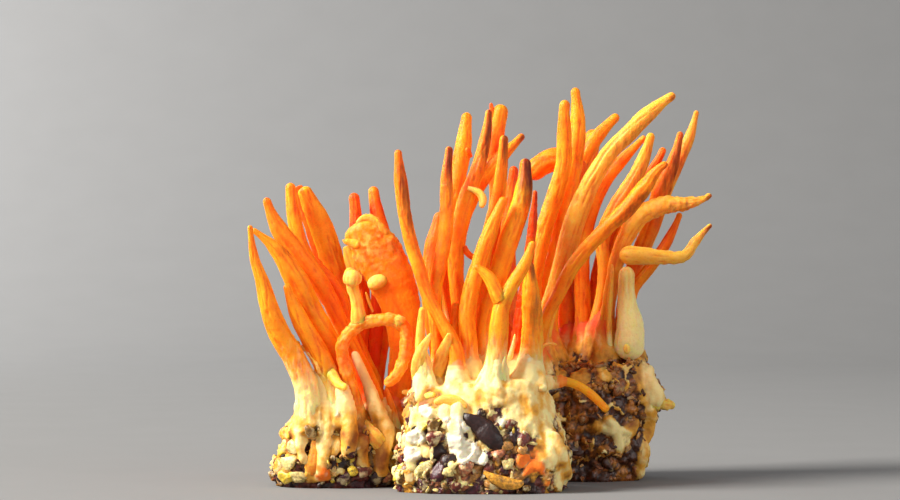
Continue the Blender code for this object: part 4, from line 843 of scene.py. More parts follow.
SPRIGS = (
    Sprig("fan_drop", "left_fan", [(-27.6, 52.8, 3.6), (-26.9, 51.3, 5.2), (-26, 49.4, 4.6)], (-0.9, 0.3), 0.6,
        Looks(0, 0.0, (), 0.04, 0.02, 0.9, (), True)),
    Sprig("fan_lip", "left_fan", [(-32, 65.6, 1.2), (-30.5, 66.8, 2), (-28.2, 66.7, 2.4), (-25.9, 64.6, 2),
        (-24.4, 62.8, 1.2)], (0.1, 0.1), 0.6, Looks(0, 0.15, (), 0.05, 0.1, 0.3, ((4, 9, 0.6),), True)),
    Sprig("fan_point", "left_fan", [(-31.2, 60, 2.2), (-33.2, 60.8, 2.2), (-34.9, 61.2, 1.2),
        (-35.7, 61.5, 0.5)], (0.1, 0.1), 0.6, Looks(0, 0.2, (), 0.05, 0.1, 0.2, ((2, 4, 0.5),), True)),
    Sprig("fan_under_blade", "left_fan", [(-32.4, 50.2, 1.6), (-32.6, 53.5, 3.2), (-33.8, 57, 3),
        (-34.7, 60, 1.6)], (-1.0, -1.0), 0.4, Looks(0, 0.0, (), 0.08, 0.02, 0.4, (), True)),
    Sprig("fan_thread_left", "left_fan", [(-29.7, 43.5, 0.5), (-30.4, 46.5, 0.6), (-30.9, 49.2, 0.4)],
        (1.0, 1.6), 0.9, Looks(0, 0.9, (), 0.1, 0.1)),
    Sprig("fan_thread_right", "left_fan", [(-27.9, 43.5, 0.6), (-28.9, 46, 0.8), (-29.7, 48.5, 0.5)],
        (1.0, 1.6), 0.9, Looks(0, 0.3, (), 0.1, 0.1, 0.5)),
    Sprig("knob_cap", "left_knob_stalk", [(-33.1, 49.9, 3.4), (-33.1, 51, 4.4), (-33, 52.8, 4.4),
        (-32.9, 54, 3.4)], (-0.6, -0.6), 1, Looks(0, 0.0, (), 0.03, 0.03, 1.0, (), True)),
    Sprig("hook_corner", "left_hook", [(-23.2, 41, 2.2), (-21.4, 41.2, 3.2), (-20.4, 40, 2.5)], (-0.8, -0.8),
        0.95, Looks(0, 0.1, (), 0.06, 0.1, 0.4, ((2, 5, 0.8),), True)),
    Sprig("window_curl", "middle_tall_stalk", [(-4.2, 74.5, 1), (-2.7, 74, 1.5), (-1.2, 73.2, 2),
        (-0.4, 71.5, 2), (-0.9, 69.5, 1.2)], (0.5, 0.8), 0.8, Looks(0, 0.0, (), 0.05, 0.03, 1.0)),
    Sprig("window_foot_stalk", "middle_tall_stalk", [(-5.2, 59.8, 1.5), (-4.2, 58.2, 1.6), (-2.7, 57.2, 1.5),
        (-1.2, 58, 1)], (0.0, 0.4), 0.9, Looks(0, 0.9, (), 0.08, 0.05)),
    Sprig("flat_top_side_tip", "middle_flat_top_stalk", [(2.3, 92.5, 1.2), (1.8, 94.2, 1.2), (1.6, 95.8, 0.8)],
        (-0.6, -0.6), 0.9, Looks(0, 0.9, (), 0.05)),
    Sprig("back_bud", "middle_back_stalk", [(-3.7, 82.2, 1.5), (-4.2, 83.8, 1.6), (-4.4, 84.8, 1)], (0.2, 0.5),
        0.9, Looks(0, 1.0, (), 0.05)),
    Sprig("front_leaf", "middle_lone_leg", [(-17.2, 26.5, 1.8), (-16.9, 30.5, 3), (-15.6, 34.2, 2.6),
        (-13.4, 38.2, 0.6)], (0.2, 1.0), 0.28, Looks(0, 0.0, (), 0.1, 0.03, 0.9)),
    Sprig("leg_flange", "middle_lone_stalk", [(-11.9, 27.5, 2.5), (-10.9, 31.5, 3.5), (-9.7, 35, 2.8),
        (-8.7, 38.2, 1)], (-0.2, 1.0), 0.5, Looks(0, 0.0, (), 0.1, 0.03, 0.7)),
    Sprig("thin_back_stalk", "middle_back_stalk", [(-8.9, 39, 1.2), (-9.7, 42.8, 1.4), (-10.4, 47, 1.2),
        (-10.9, 50.5, 0.6)], (1.0, 1.4), 0.8, Looks(8, 0.1, (), 0.1, 0.03, 0.4)),
    Sprig("crown_tooth_right", "middle_wrinkled_stalk", [(5.3, 28.5, 2), (6.3, 32, 1.5), (7.1, 35.2, 1),
        (7.6, 38, 0.5)], (0.4, 1.2), 0.8, Looks(30, 0.0, (), 0.1, 0.03, 0.6)),
    Sprig("crown_tooth_middle", "middle_brown_tip_stalk", [(-0.4, 25, 2.5), (0.1, 29, 2), (0.3, 32.2, 1.2),
        (0.8, 35.5, 0.6)], (0.0, 1.2), 0.8, Looks(30, 0.0, (), 0.1, 0.03, 0.4)),
    Sprig("crown_tooth_low", "middle_fork_stem", [(2.3, 23, 2.5), (3.3, 26.5, 2), (4.3, 29.5, 1.2),
        (5.1, 32.5, 0.5)], (-0.6, 0.6), 0.8, Looks(30, 0.0, (), 0.1, 0.03, 0.4)),
    Sprig("crown_tooth_left", "middle_upright_stalk", [(-4.7, 24.5, 2.2), (-4.4, 28, 1.8), (-3.7, 31.2, 1.2),
        (-2.9, 34.5, 0.6)], (0.8, 1.4), 0.8, Looks(30, 0.0, (), 0.1, 0.03, 0.3)),
    Sprig("tiny_spine", "middle_back_right_stalk", [(7.1, 39, 0.6), (6.6, 40, 0.5), (5.8, 41, 0.3)], (1.0, 3.4),
        0.9, Looks(0, 0.8, (), 0.05)),
    Sprig("thin_right_stalk", "right_level_stalk", [(31.3, 35, 1.5), (31.1, 40.2, 1.6), (31.3, 46.5, 1.6),
        (31.8, 52, 1.2), (31.8, 55.5, 0.8)], (1.2, 1.2), 0.8, Looks(5, 0.1, (), 0.1, 0.03, 0.5)),
    Sprig("left_flap", "left_lump", [(-22.2, 4, 1.2), (-24.7, 8.5, 3), (-27.7, 12.5, 3.8), (-30.2, 15.5, 2.5),
        (-31.2, 17, 1)], (0.2, 1.4), 0.28, Looks(0, 0.1, (), 0.1, 0.08, 0.9, ((0, 30, 0.3),))),
    Sprig("left_bud_low", "left_lump", [(-40.7, 7.5, 1.5), (-38.9, 6, 3.8), (-38.2, 4, 3.2), (-38.7, 2.2, 1.8)],
        (0.4, 0.2), 0.5, Looks(0, 0.5, ((3, 5, 0.25),), 0.1, 0.1, 0.3, ((4, 8, 0.5),), True)),
    Sprig("left_ridge_foot", "left_lump", [(-41.8, 11.5, 2.6), (-42.1, 8, 4), (-42.7, 5, 4.4),
        (-43.2, 2.5, 2.8)], (0.6, 0.2), 0.35, Looks(0, 0.5, (), 0.1, 0.1, 0.2, ((4, 8, 0.5),), True)),
    Sprig("fold_web", "left_folded_blade", [(-46.8, 75, 2.2), (-45, 71, 4), (-43, 65.5, 4.6), (-41, 59.5, 4.6),
        (-38.4, 52.5, 4)], (-1.2, -1.2), 0.3, Looks(0, 0.9, (), 0.1, 0.05, 0.0, (), True)),
    Sprig("fan_red_fold", "left_back_tall_tip", [(-28, 26, 2.6), (-27.4, 34, 3.4), (-27, 42, 3.6),
        (-26.8, 50, 3), (-27, 56, 1.6)], (0.2, 0.2), 0.6, Looks(0, 1.0, (), 0.14, 0.05)),
    Sprig("left_thin_blade", "left_lump", [(-32.2, 14, 1), (-33.7, 18.5, 2.2), (-35.2, 22.5, 2.2),
        (-35.9, 25.5, 1)], (1.0, 1.6), 0.4, Looks(0, 0.5, (), 0.1, 0.05, 0.2)),
    Sprig("left_small_tip", "left_lump", [(-21.7, 14, 2), (-22.9, 18.5, 2), (-23.9, 22, 1.5),
        (-24.7, 24.5, 0.8)], (0.8, 0.8), 0.7, Looks(6, 0.6, (), 0.1, 0.05, 0.2)),
    Sprig("left_amber_crumb_row", "left_outer_short_stalk", [(-50.4, 40.2, 0.6), (-46.2, 35, 1),
        (-42.9, 31.5, 0.8), (-40.7, 28, 0.8), (-36.7, 23.5, 0.5)], (0.3, 0.3), 0.6,
        Looks(0, 0.2, ((10, 8, 0.4),), 0.1, 0.3, 1.0, ((10, 30, 1.0),), True)),
    Sprig("crown_ledge", "middle_lump", [(-12.7, 20.8, 1), (-10.7, 21.5, 2.2), (-8.2, 21.5, 2.8),
        (-5.7, 20.5, 2), (-4.4, 19.5, 1)], (0.9, 0.9), 0.6, Looks(0, 0.2, (), 0.06, 0.04, 0.7, (), True)),
    Sprig("crown_band", "middle_lump", [(-20.7, 23.5, 1), (-18.4, 23.2, 2), (-15.2, 22.2, 2.2),
        (-12.2, 23, 1.5)], (0.9, 0.9), 0.6, Looks(0, 0.3, (), 0.1, 0.1, 0.8, ((4, 9, 0.6),), True)),
    Sprig("golden_husk", "middle_lump", [(-0.2, 3.5, 0.8), (2.1, 2, 2.2), (5.1, 0.8, 3), (8.3, 0.5, 2.2),
        (9.8, 1, 1)], (0.8, 0.8), 0.45, Looks(furrow=0.15, pucker=0.1), "gold"),
    Sprig("dark_husk", "middle_lump", [(-5.7, 18, 0.8), (-4.2, 17, 2.5), (-1.2, 15.2, 4.8), (1.6, 12.2, 5),
        (3.6, 10, 3), (4.3, 9, 1)], (0.7, 0.7), 0.5, Looks(furrow=0.2, pucker=0.2), "husk"),
    Sprig("yellow_thread", "middle_back_right_stalk", [(13.3, 33.2, 0.6), (14.1, 34.3, 0.7), (15.3, 35.3, 0.8),
        (16.8, 35.6, 0.7), (18.1, 35.3, 0.5)], (0.4, 1.0), 0.7, Looks(0, 0.0, (), 0.05, 0.03, 1.0, (), True)),
    Sprig("side_growth", "right_lump", [(41.3, 20.5, 4), (43.8, 20.8, 3.5), (45.8, 20.2, 2.8), (47.6, 20.5, 2)],
        (0.0, 0.0), 0.9, Looks(0, 0.0, (), 0.1, 0.2, 1.0, ((4, 9, 1.0),), True)),
    Sprig("pale_stem_drop", "right_pale_stem", [(35.3, 35.5, 1.2), (35.6, 34.2, 1.9), (35.8, 33, 1.2)],
        (0.2, 0.2), 0.8, Looks(0, 0.0, (), 0.02, 0.02, 1.0, (), True)),
)

# The grid of a crust's even mesh, and how often that is smoothed
VOXEL = 0.55
SMOOTHING = 4
PATCH_KINDS = ("felt", "bare", "white", "amber", "glow")
# A strand leans back where it leaves the face, stands proud of it by a share of its width, is this flat, and
# takes the stalk's colour above its climb, and this paleness and redness
STRAND_LEAN = 0.12
STRAND_PROUD = 0.22
STRAND_FLAT = 0.9
STRAND_CLIMB = 17.0
STRAND_PALE = 0.6
STRAND_RED = 0.1
# A tube takes one in three of its spine's rings
EVERY = 3
TUBE_SIDES = 14
# How wide a collar's top is against its stalk, how many pleats it has and how deep, and how far they turn from
# one collar to the next
COLLAR_TOP = 0.78
PLEATS = 4
PLEAT_DEPTH = 0.16
PLEAT_TURN = 1.7
# How far round a root its felt fades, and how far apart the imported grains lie
ROOT_BLUR = 1.2
PACKED_GRAIN = 3.0
# Half the height over which the felt's edge fades, and up to what height the cut underside stays flat
FELT_FADE = 1.2
UNDERSIDE = 0.6
# For grains and for crumbs: least and most length, width and thickness, tilt, least bareness and least height
GRAIN_SIZES = ((3.6, 5.8), (2.2, 3.4), (1.6, 2.8))
CRUMB_SIZES = ((1.0, 2.6), (0.7, 1.6), (0.4, 1.0))
GRAIN_TILT = 0.35
CRUMB_TILT = 0.6
GRAIN_BARE = 0.6
CRUMB_BARE = 0.3
GRAIN_FLOOR = 1.0
CRUMB_FLOOR = 0.8
# How far scattered grains are sunk and the listed ones stand proud, and how far and how often all are bent
GRAIN_SUNK = 0.6
GRAIN_PROUD = 0.2
CROOK = 2.4
CROOK_SIZE = 2.2


def ripple(points, size, octaves=3):
    """Fractal noise at points in mm, about -1 to 1, whose largest waves are size mm apart."""
    return np.array([noise.fractal(Vector(point), 1.0, 2.0, octaves) for point in points / size])


def smooth_step(values, low, high):
    """Smoothly 0 below low and 1 above high."""
    share = np.clip((values - low) / (high - low), 0, 1)
    return share ** 2 * (3 - 2 * share)


def grain_cells(points):
    """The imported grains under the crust: how deep in its grain each point lies, and a number for the grain."""
    cells = np.empty((2, len(points)))
    for i, point in enumerate(points / PACKED_GRAIN):
        distances, spots = noise.voronoi(Vector(point))
        # The usual hash of a place
        number = math.sin(spots[0].dot(Vector((12.99, 78.23, 37.72)))) * 43758.5 % 1
        cells[:, i] = distances[1] - distances[0], number
    return cells


def add_tube(shell, spine, count, sizes, phase):
    """Add a closed, pleated tube round the first count points of a spine, sizes times as wide as it."""
    rings = []
    for i in range(0, count, EVERY):
        ring = []
        for k in range(TUBE_SIDES):
            angle = 2 * math.pi * k / TUBE_SIDES
            size = sizes[i] * (1 + PLEAT_DEPTH * max(sizes[i] - 1, 0) * math.cos(PLEATS * angle + phase))
            spot = spine.centres[i] + spine.side[i] * spine.wide[i] * size * math.cos(angle)
            spot = spot + spine.inwards[i] * spine.deep[i] * size * math.sin(angle)
            ring.append(shell.verts.new(spot * MM))
        rings.append(ring)
    for low, high in zip(rings, rings[1:]):
        for k in range(TUBE_SIDES):
            shell.faces.new((low[k], low[k - 1], high[k - 1], high[k]))
    shell.faces.new(rings[0])
    shell.faces.new(reversed(rings[-1]))


def strand_spine(tree, points):
    """A strand's spine, from its foot up a lump's face and on above it, leaning back."""
    spots = []
    for x, z, width in reversed(points):
        spot, normal = seen_on(tree, (x, z))
        if spots and (sight_point((x, z), spot.y) - spot).length > MEETS:
            lean = (z - spots[-1].z) * STRAND_LEAN
            spots.append(sight_point((x, z), spots[-1].y + lean))
        else:
            spots.append(spot + normal * width * STRAND_PROUD)
    widths = np.array([width / 2 for _, _, width in reversed(points)])
    return Spine(np.array(spots), widths, widths * STRAND_FLAT)


def bare_crust(crust, roots, strands):
    """A lump with its roots' collars and its strands, as one even, fine mesh."""
    shell = merged_shell(crust.lump)
    height, spread = crust.collar
    for i, (name, spine) in enumerate(roots):
        if LOOKS[name].collar:
            reach = min(height * LOOKS[name].collar, spine.along[-1] * 0.5) + ROOT_SINK
            count = int(np.searchsorted(spine.along, reach))
            share = 1 - spine.along / reach
            add_tube(shell, spine, count, COLLAR_TOP + spread * np.clip(share, 0, 1) ** 2, i * PLEAT_TURN)
    for spine in strands:
        add_tube(shell, spine, len(spine.along), np.ones(len(spine.along)), 0)
    bmesh.ops.recalc_face_normals(shell, faces=shell.faces)
    thing = link_mesh(crust.lump + "_crust", mesh_from(shell, "fine"))
    even = thing.modifiers.new("even", "REMESH")
    even.mode = "VOXEL"
    even.voxel_size = VOXEL * MM
    soften = thing.modifiers.new("soften", "SMOOTH")
    soften.iterations = SMOOTHING
    soften.factor = 0.5
    return evaluated_mesh(thing)


def mesh_arrays(data):
    """A mesh's points in mm and its normals."""
    arrays = []
    for key in ("co", "normal"):
        values = np.empty(len(data.vertices) * 3, dtype=np.float32)
        data.vertices.foreach_get(key, values)
        arrays.append(values.reshape(-1, 3).astype(float))
    return arrays[0] / MM, arrays[1]


def patch_weights(crust, points, wave):
    """The weights of a crust's points in its patches, by their kinds."""
    tree = search_tree(crust.lump)
    weights = {kind: np.zeros(len(points)) for kind in PATCH_KINDS}
    for kind, patches in crust.patches.items():
        for x, z, reach, strength in patches:
            spot, _ = seen_on(tree, (x, z))
            away = np.linalg.norm(points + wave[:, None] * 1.2 - np.array(spot), axis=1)
            weight = strength * smooth_step(1 - away / (reach * 1.3), 0, 0.5)
            stronger = np.abs(weight) > np.abs(weights[kind])
            weights[kind][stronger] = weight[stronger]
    return weights


def root_weights(crust, roots, strands, points):
    """How near each point lies to a root, how far up its collar, and its stalk's paleness and redness."""
    height = crust.collar[0]
    rows = []
    for name, spine in roots:
        looks = LOOKS[name]
        for i in range(0, min(len(spine.along), int((height + ROOT_SINK) / SPINE_STEP)), EVERY):
            pale = max(1 - spine.along[i] / looks.pale, 0)
            rows.append((spine.centres[i], spine.along[i] - ROOT_SINK, spine.wide[i], pale, looks.red))
    for spine in strands:
        rows += [(spine.centres[i], spine.centres[i][2] - STRAND_CLIMB, spine.wide[i], STRAND_PALE, STRAND_RED)
                 for i in range(0, len(spine.along), EVERY)]
    tree = KDTree(len(rows))
    for i, row in enumerate(rows):
        tree.insert(row[0], i)
    tree.balance()
    weights = np.empty((4, len(points)))
    for i, point in enumerate(points):
        _, at, distance = tree.find(point)
        _, rise, wide, pale, red = rows[at]
        rooted = math.exp(-(max(distance - wide, 0) / ROOT_BLUR) ** 2)
        weights[:, i] = rooted, max(rise, 0) / height, pale, red
    return weights


def crust_mesh(crust):
    """A lump's crust, with all that its material reads, and where the grain under it lies bare."""
    roots = [(name, spine_of(name, ROOT_SINK)) for name in stalk_names(crust.lump.split("_")[0])
             if not LOOKS[name].round_root]
    tree = search_tree(crust.lump)
    strands = [strand_spine(tree, points) for points in crust.strands]
    data = bare_crust(crust, roots, strands)
    points, normals = mesh_arrays(data)
    seeded = points + crust.seed * CRUST_SEED
    # Waves, with how many mm apart they lie; pleats, folds and strings are drawn out upwards
    broad = ripple(seeded, 6.0)
    middling = ripple(seeded + 50, 2.0)
    pleats = ripple(seeded * (1, 1, 0.22) + 70, 1.8)
    folds = 1 - 2 * np.abs(ripple(seeded * (1, 1, 0.14) + 90, 3.4, 2))
    fine = ripple(seeded + 110, 1.1, 2)
    depths, numbers = grain_cells(seeded + broad[:, None] * 1.5)
    weights = patch_weights(crust, points, broad)
    rooted, climb, pale, red = root_weights(crust, roots, strands, points)
    felt = smooth_step(points[:, 2] + broad * crust.felt_wave + pleats * 1.5,
                       crust.felt_edge - FELT_FADE, crust.felt_edge + FELT_FADE)
    felt = np.maximum.reduce([felt, weights["felt"], rooted, weights["glow"]])
    felt = np.clip(felt - weights["bare"], 0, 1)
    white = smooth_step(weights["white"] + middling * 0.4 + pleats * 0.3, 0.35, 0.6)
    strings = ripple(seeded * (1, 1, 0.55) + 20, 3.6, 2)
    patchy = crust.web * smooth_step(broad + points[:, 2] / points[:, 2].max(), 0.1, 0.9)
    web = smooth_step(1 - np.abs(strings) * 2.2, 1 - patchy, 1.2 - patchy) * (1 - felt)
    covered = np.maximum.reduce([felt, white, web])
    packed = np.sqrt(np.clip(depths / 0.5, 0, 1))
    # How far each point moves out, in mm: waves and folds, then grains, then felt, white, threads and grit
    lift = 0.35 * broad + 0.3 * middling * (1 - 0.7 * rooted) + 0.25 * pleats * rooted
    lift += 0.55 * folds * np.maximum(rooted, 0.8 * felt)
    lift += ((packed - 0.6) * (1.0 - 0.7 * felt) + (numbers - 0.5) * (1 - felt)) * (1 - rooted)
    lift += 0.3 * felt + (0.5 + 0.6 * fine) * white + 0.7 * web - (0.5 - 0.5 * fine) * (1 - covered)
    lift *= 1 - smooth_step(climb, 0.3, 0.9)
    flat_below = (points[:, 2] < UNDERSIDE) & (normals[:, 2] < -0.5)
    lift[flat_below] = 0
    moved = points + normals * lift[:, None]
    moved[:, 2] = np.maximum(moved[:, 2], 0)
    moved[flat_below, 2] = 0
    data.vertices.foreach_set("co", (moved * MM).astype(np.float32).ravel())
    colours = np.array([linear(GRAIN_KINDS[kind]) for kind in crust.kinds])
    set_attributes(data, {"tint": colours[(numbers * len(colours)).astype(int)]}, "FLOAT_COLOR")
    set_attributes(data, {
        "felt": covered, "white": white, "pale": pale, "red": red,
        # Amber is dried felt; the folds' term is painted shade, more amber in the hollows between folds and less
        # on their ridges
        "amber": crust.amber + weights["amber"] + 0.25 * broad - 0.3 * rooted - 0.4 * web - 0.4 * folds + 0.15,
        # Painted light: where the glow patches lie, the felt is painted a lit orange
        "glow": smooth_step(weights["glow"] + middling * 0.3, 0.3, 0.8),
        "climb": smooth_step(climb + 0.3 * pleats, 0.05, 0.6) * rooted,
        # Painted shade in the chinks between the bare grains
        "painted_chink_shade": (1 - covered) * smooth_step(-depths, -0.16, -0.02) * 0.9})
    data.materials.append(material_for("mycelium_felt", crust_material))
    data.update()
    data.shade_smooth()
    return data, (1 - covered) * (~flat_below)


def grain_tree():
    """Geometry Nodes that set a grain on each point: tapered, grooved along its length and crumpled."""
    tree, given, add = new_tree("set_grains", {
        "Points": "Geometry", "Crook": "Float", "Crook Size": "Float", "Material": "Material"})
    here = add("GeometryNodeInputPosition")
    local = add("ShaderNodeSeparateXYZ", (here,)).outputs
    made = {}
    for name, how, *terms in (
            ("taper", "MULTIPLY_ADD", local["X"], -0.25, 1.0),
            ("across", "MULTIPLY", local["Y"], "taper"),
            ("off", "DIVIDE", local["Y"], 0.35),
            ("off", "MULTIPLY", "off", "off"),
            ("off", "MULTIPLY", "off", -1.0),
            ("groove", "EXPONENT", "off"),
            ("groove", "MULTIPLY_ADD", "groove", -0.3, 1.0),
            ("up", "MULTIPLY", local["Z"], "groove")):
        made[name] = add(MATH, [made.get(term, term) for term in terms], operation=how)
    shaped = add("ShaderNodeCombineXYZ", (local["X"], made["across"], made["up"]))
    grain = add("GeometryNodeMeshUVSphere", {"Segments": 10, "Rings": 6, "Radius": 1.0})
    grain = add(MOVE, {"Geometry": grain, "Position": shaped})
    turn, size = (add(READ, {"Name": name}, data_type="FLOAT_VECTOR") for name in ("turn", "size"))
    grains = add("GeometryNodeInstanceOnPoints", {"Points": given["Points"], "Instance": grain,
                                                  "Rotation": turn, "Scale": size})
    grains = add("GeometryNodeRealizeInstances", {"Geometry": grains})
    wave = add(VECTOR, (here, given["Crook Size"]), operation="DIVIDE")
    wave = add(NOISE, {"Vector": wave, "Scale": 1.0, "Detail": 2.0}).outputs["Color"]
    wave = add(VECTOR, (wave, (0.5, 0.5, 0.5)), operation="SUBTRACT")
    wave = add(VECTOR, {0: wave, "Scale": given["Crook"]}, operation="SCALE")
    grains = add(MOVE, {"Geometry": grains, "Offset": wave})
    above = add(VECTOR, (here, (-1.0, -1.0, 0.0)), operation="MAXIMUM")
    grains = add(MOVE, {"Geometry": grains, "Position": above})
    grains = add("GeometryNodeSetShadeSmooth", {"Geometry": grains})
    grains = add("GeometryNodeSetMaterial", {"Geometry": grains, "Material": given["Material"]})
    add("NodeGroupOutput", (grains,))
    return tree


def grain_turn(normal, lengthwise):
    """The Euler turn that lays a grain's length along the surface and its thickness along the normal."""
    up = Vector(normal).normalized()
    length = Vector(lengthwise) - up * Vector(lengthwise).dot(up)
    length.normalize()
    return Matrix((length, up.cross(length), up)).transposed().to_euler()


def grain_rows(crust, data, bare):
    """The spots, sizes, turns and colours of a lump's grains.

    The listed ones come first, then grains scattered over the bare crust, none too near to another, and crumbs
    between.
    """
    tree = search_tree(crust.lump)
    rows = []
    for x, z, *size, turn, kind in crust.grains:
        spot, normal = seen_on(tree, (x, z))
        angle = math.radians(turn)
        turn = grain_turn(normal, (math.cos(angle), 0, math.sin(angle)))
        rows.append((spot + normal * GRAIN_PROUD, Vector(size) / 2, turn, linear(GRAIN_KINDS[kind])))
    points, normals = mesh_arrays(data)
    random = np.random.default_rng(crust.seed)

    def scatter(i, sizes, tilt, kinds, depth):
        """Lay a random grain at a point of the crust."""
        size = Vector([random.uniform(*limits) for limits in sizes]) / 2
        turn = grain_turn(normals[i] + random.normal(size=3) * tilt, random.normal(size=3))
        colour = linear(GRAIN_KINDS[kinds[random.integers(len(kinds))]])
        rows.append((points[i] - normals[i] * depth, size, turn, colour))

    taken = [np.array(row[0]) for row in rows]
    for i in random.permutation(len(points)):
        if bare[i] < GRAIN_BARE or points[i, 2] < GRAIN_FLOOR:
            continue
        if min(np.sum((np.array(taken) - points[i]) ** 2, axis=1)) < crust.spacing ** 2:
            continue
        taken.append(points[i])
        scatter(i, GRAIN_SIZES, GRAIN_TILT, crust.kinds, GRAIN_SUNK)
    rough = np.flatnonzero((bare > CRUMB_BARE) & (points[:, 2] > CRUMB_FLOOR))
    for i in random.choice(rough, crust.crumbs, replace=False):
        scatter(i, CRUMB_SIZES, CRUMB_TILT, crust.crumb_kinds, 0.0)
    return rows


def grains_mesh(crust, data, bare):
    """All the grains of one lump as a plain mesh."""
    spots, sizes, turns, tints = zip(*grain_rows(crust, data, bare))
    cloud = bpy.data.meshes.new("grain_spots")
    cloud.from_pydata([tuple(Vector(spot) * MM) for spot in spots], [], [])
    set_attributes(cloud, {"size": [tuple(size * MM) for size in sizes],
                           "turn": [tuple(turn) for turn in turns]}, "FLOAT_VECTOR")
    set_attributes(cloud, {"tint": tints}, "FLOAT_COLOR")
    set_attributes(cloud, {"film": [crust.film] * len(spots)})
    return grow(link_mesh(crust.lump + "_grains", cloud), "set_grains", grain_tree, {
        "Crook": CROOK * MM, "Crook Size": CROOK_SIZE * MM,
        "Material": material_for("cooked_grain", grain_material)})


def dress_lump(crust):
    """Make a lump's crust and its grains, and put them in the solid's place."""
    data, bare = crust_mesh(crust)
    grains = link_mesh(crust.lump + "_grains", grains_mesh(crust, data, bare))
    piece = link_mesh(crust.lump + "_crust", data)
    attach(piece, "root")
    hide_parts(crust.lump)
    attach(grains, "root")


def sprig_spine(sprig):
    """A sprig's spine, in front of its host."""
    tree = search_tree(sprig.host)
    depth = None
    spots = []
    for i, (x, z, _) in enumerate(sprig.points):
        spot, _ = seen_on(tree, (x, z))
        if depth is None or (sight_point((x, z), spot.y) - spot).length < MEETS:
            depth = spot.y
        share = i / (len(sprig.points) - 1)
        proud = sprig.proud[0] + (sprig.proud[1] - sprig.proud[0]) * share
        spots.append(sight_point((x, z), depth - proud))
    widths = np.array([width / 2 for _, _, width in sprig.points])
    return Spine(np.array(spots), widths, widths * sprig.flat, round_root=sprig.looks.round_root)


def dress_sprig(sprig, seed):
    """Make a sprig and lay it on its host."""
    data = skin_mesh(sprig.name, sprig_spine(sprig), sprig.looks, seed * SPRIG_SEED, sprig.kind)
    piece = link_mesh(sprig.name, data)
    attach(piece, "root")


class FleshSettings(bpy.types.PropertyGroup):
    """Sizes and colours of the stalks."""

    crumb_height: FloatProperty(name="Crumbs", description="Height of the crumbs on rough flesh",
                                default=1.0 * MM, unit="LENGTH", precision=5)
    most_sides: IntProperty(name="Most sides", description="Points around the thickest skin", default=44)
    flare: FloatProperty(name="Flare", description="How much wider a root is than its stalk", default=0.5)
    swell: FloatProperty(name="Swell", description="Unevenness of a stalk's thickness", default=0.22)
    glow_depth: FloatProperty(name="Glow depth", description="How far light sinks into the flesh",
                              default=3.2 * MM, unit="LENGTH", precision=5)
    light_colour: FloatVectorProperty(name="Light flesh", description="Colour of the lighter flesh",
                                      subtype="COLOR", size=4, default=linear("FFA41C"))
    deep_colour: FloatVectorProperty(name="Deep flesh", description="Colour of the redder flesh",
                                     subtype="COLOR", size=4, default=linear("F04A02"))
    root_colour: FloatVectorProperty(name="Root", description="Colour of the pale roots",
                                     subtype="COLOR", size=4, default=linear("FFE09A"))
    stain_colour: FloatVectorProperty(name="Stain", description="Colour of the brown tips",
                                      subtype="COLOR", size=4, default=linear("74240C"))


class StageSettings(bpy.types.PropertyGroup):
    """The stage's light."""

    key_power: FloatProperty(name="Key", description="Power of the light from the upper left",
                             default=60.0, unit="POWER")
    fill_power: FloatProperty(name="Fill", description="Power of the light from the right",
                              default=5.0, unit="POWER")
    wash_power: FloatProperty(name="Wash", description="Power of the light on the paper at the left",
                              default=15.0, unit="POWER")
    sky: FloatProperty(name="Sky", description="Strength of the light from all round", default=0.45)


def dress_side(side, first_seed):
    """Dress the stalks of one lump, each with a seed of its own."""
    for i, node in enumerate(stalk_names(side)):
        dress_stalk(node, i + first_seed)
    return {"FINISHED"}


class CORDYCEPS_OT_left_stalks(bpy.types.Operator):
    """Skin the stalks of the left lump"""

    bl_idname = "cordyceps.left_stalks"
    bl_label = "Left stalks"

    def execute(self, context):
        return dress_side("left", 1)


class CORDYCEPS_OT_middle_stalks(bpy.types.Operator):
    """Skin the stalks of the middle lump"""

    bl_idname = "cordyceps.middle_stalks"
    bl_label = "Middle stalks"

    def execute(self, context):
        return dress_side("middle", 31)


class CORDYCEPS_OT_right_stalks(bpy.types.Operator):
    """Skin the stalks of the right lump"""

    bl_idname = "cordyceps.right_stalks"
    bl_label = "Right stalks"

    def execute(self, context):
        return dress_side("right", 61)


class CORDYCEPS_OT_lumps(bpy.types.Operator):
    """Lay the crust and set the grains of the three lumps"""

    bl_idname = "cordyceps.lumps"
    bl_label = "Lumps"

    def execute(self, context):
        for crust in CRUSTS:
            dress_lump(crust)
        return {"FINISHED"}


class CORDYCEPS_OT_sprigs(bpy.types.Operator):
    """Lay the small tips, flakes and husks on the stalks and the lumps"""

    bl_idname = "cordyceps.sprigs"
    bl_label = "Sprigs"

    def execute(self, context):
        for i, sprig in enumerate(SPRIGS):
            dress_sprig(sprig, i + 1)
        return {"FINISHED"}


# Stage, in metres
FLOOR_HALF = 3.0
FLOOR_BACK = 1.3
BEND_RADIUS = 0.6
BEND_STEPS = 24
WALL_TOP = 3.0


def add_paper():
    """The seamless paper under and behind the bunch: a floor that bends up into a wall."""
    bend = [(FLOOR_BACK - BEND_RADIUS * (1 - math.sin(turn)), BEND_RADIUS * (1 - math.cos(turn)))
            for turn in np.linspace(0, math.pi / 2, BEND_STEPS + 1)]
    shell = bmesh.new()
    rows = [[shell.verts.new((x, y, z)) for x in (-FLOOR_HALF, FLOOR_HALF)]
            for y, z in [(-FLOOR_HALF, 0.0), *bend, (FLOOR_BACK, WALL_TOP)]]
    for front, back in zip(rows, rows[1:]):
        shell.faces.new((front[0], front[1], back[1], back[0]))
    data = mesh_from(shell, "studio_paper")
    data.shade_smooth()
    data.materials.append(material_for("studio_paper", stage_material))
    link_mesh("studio_paper", data)


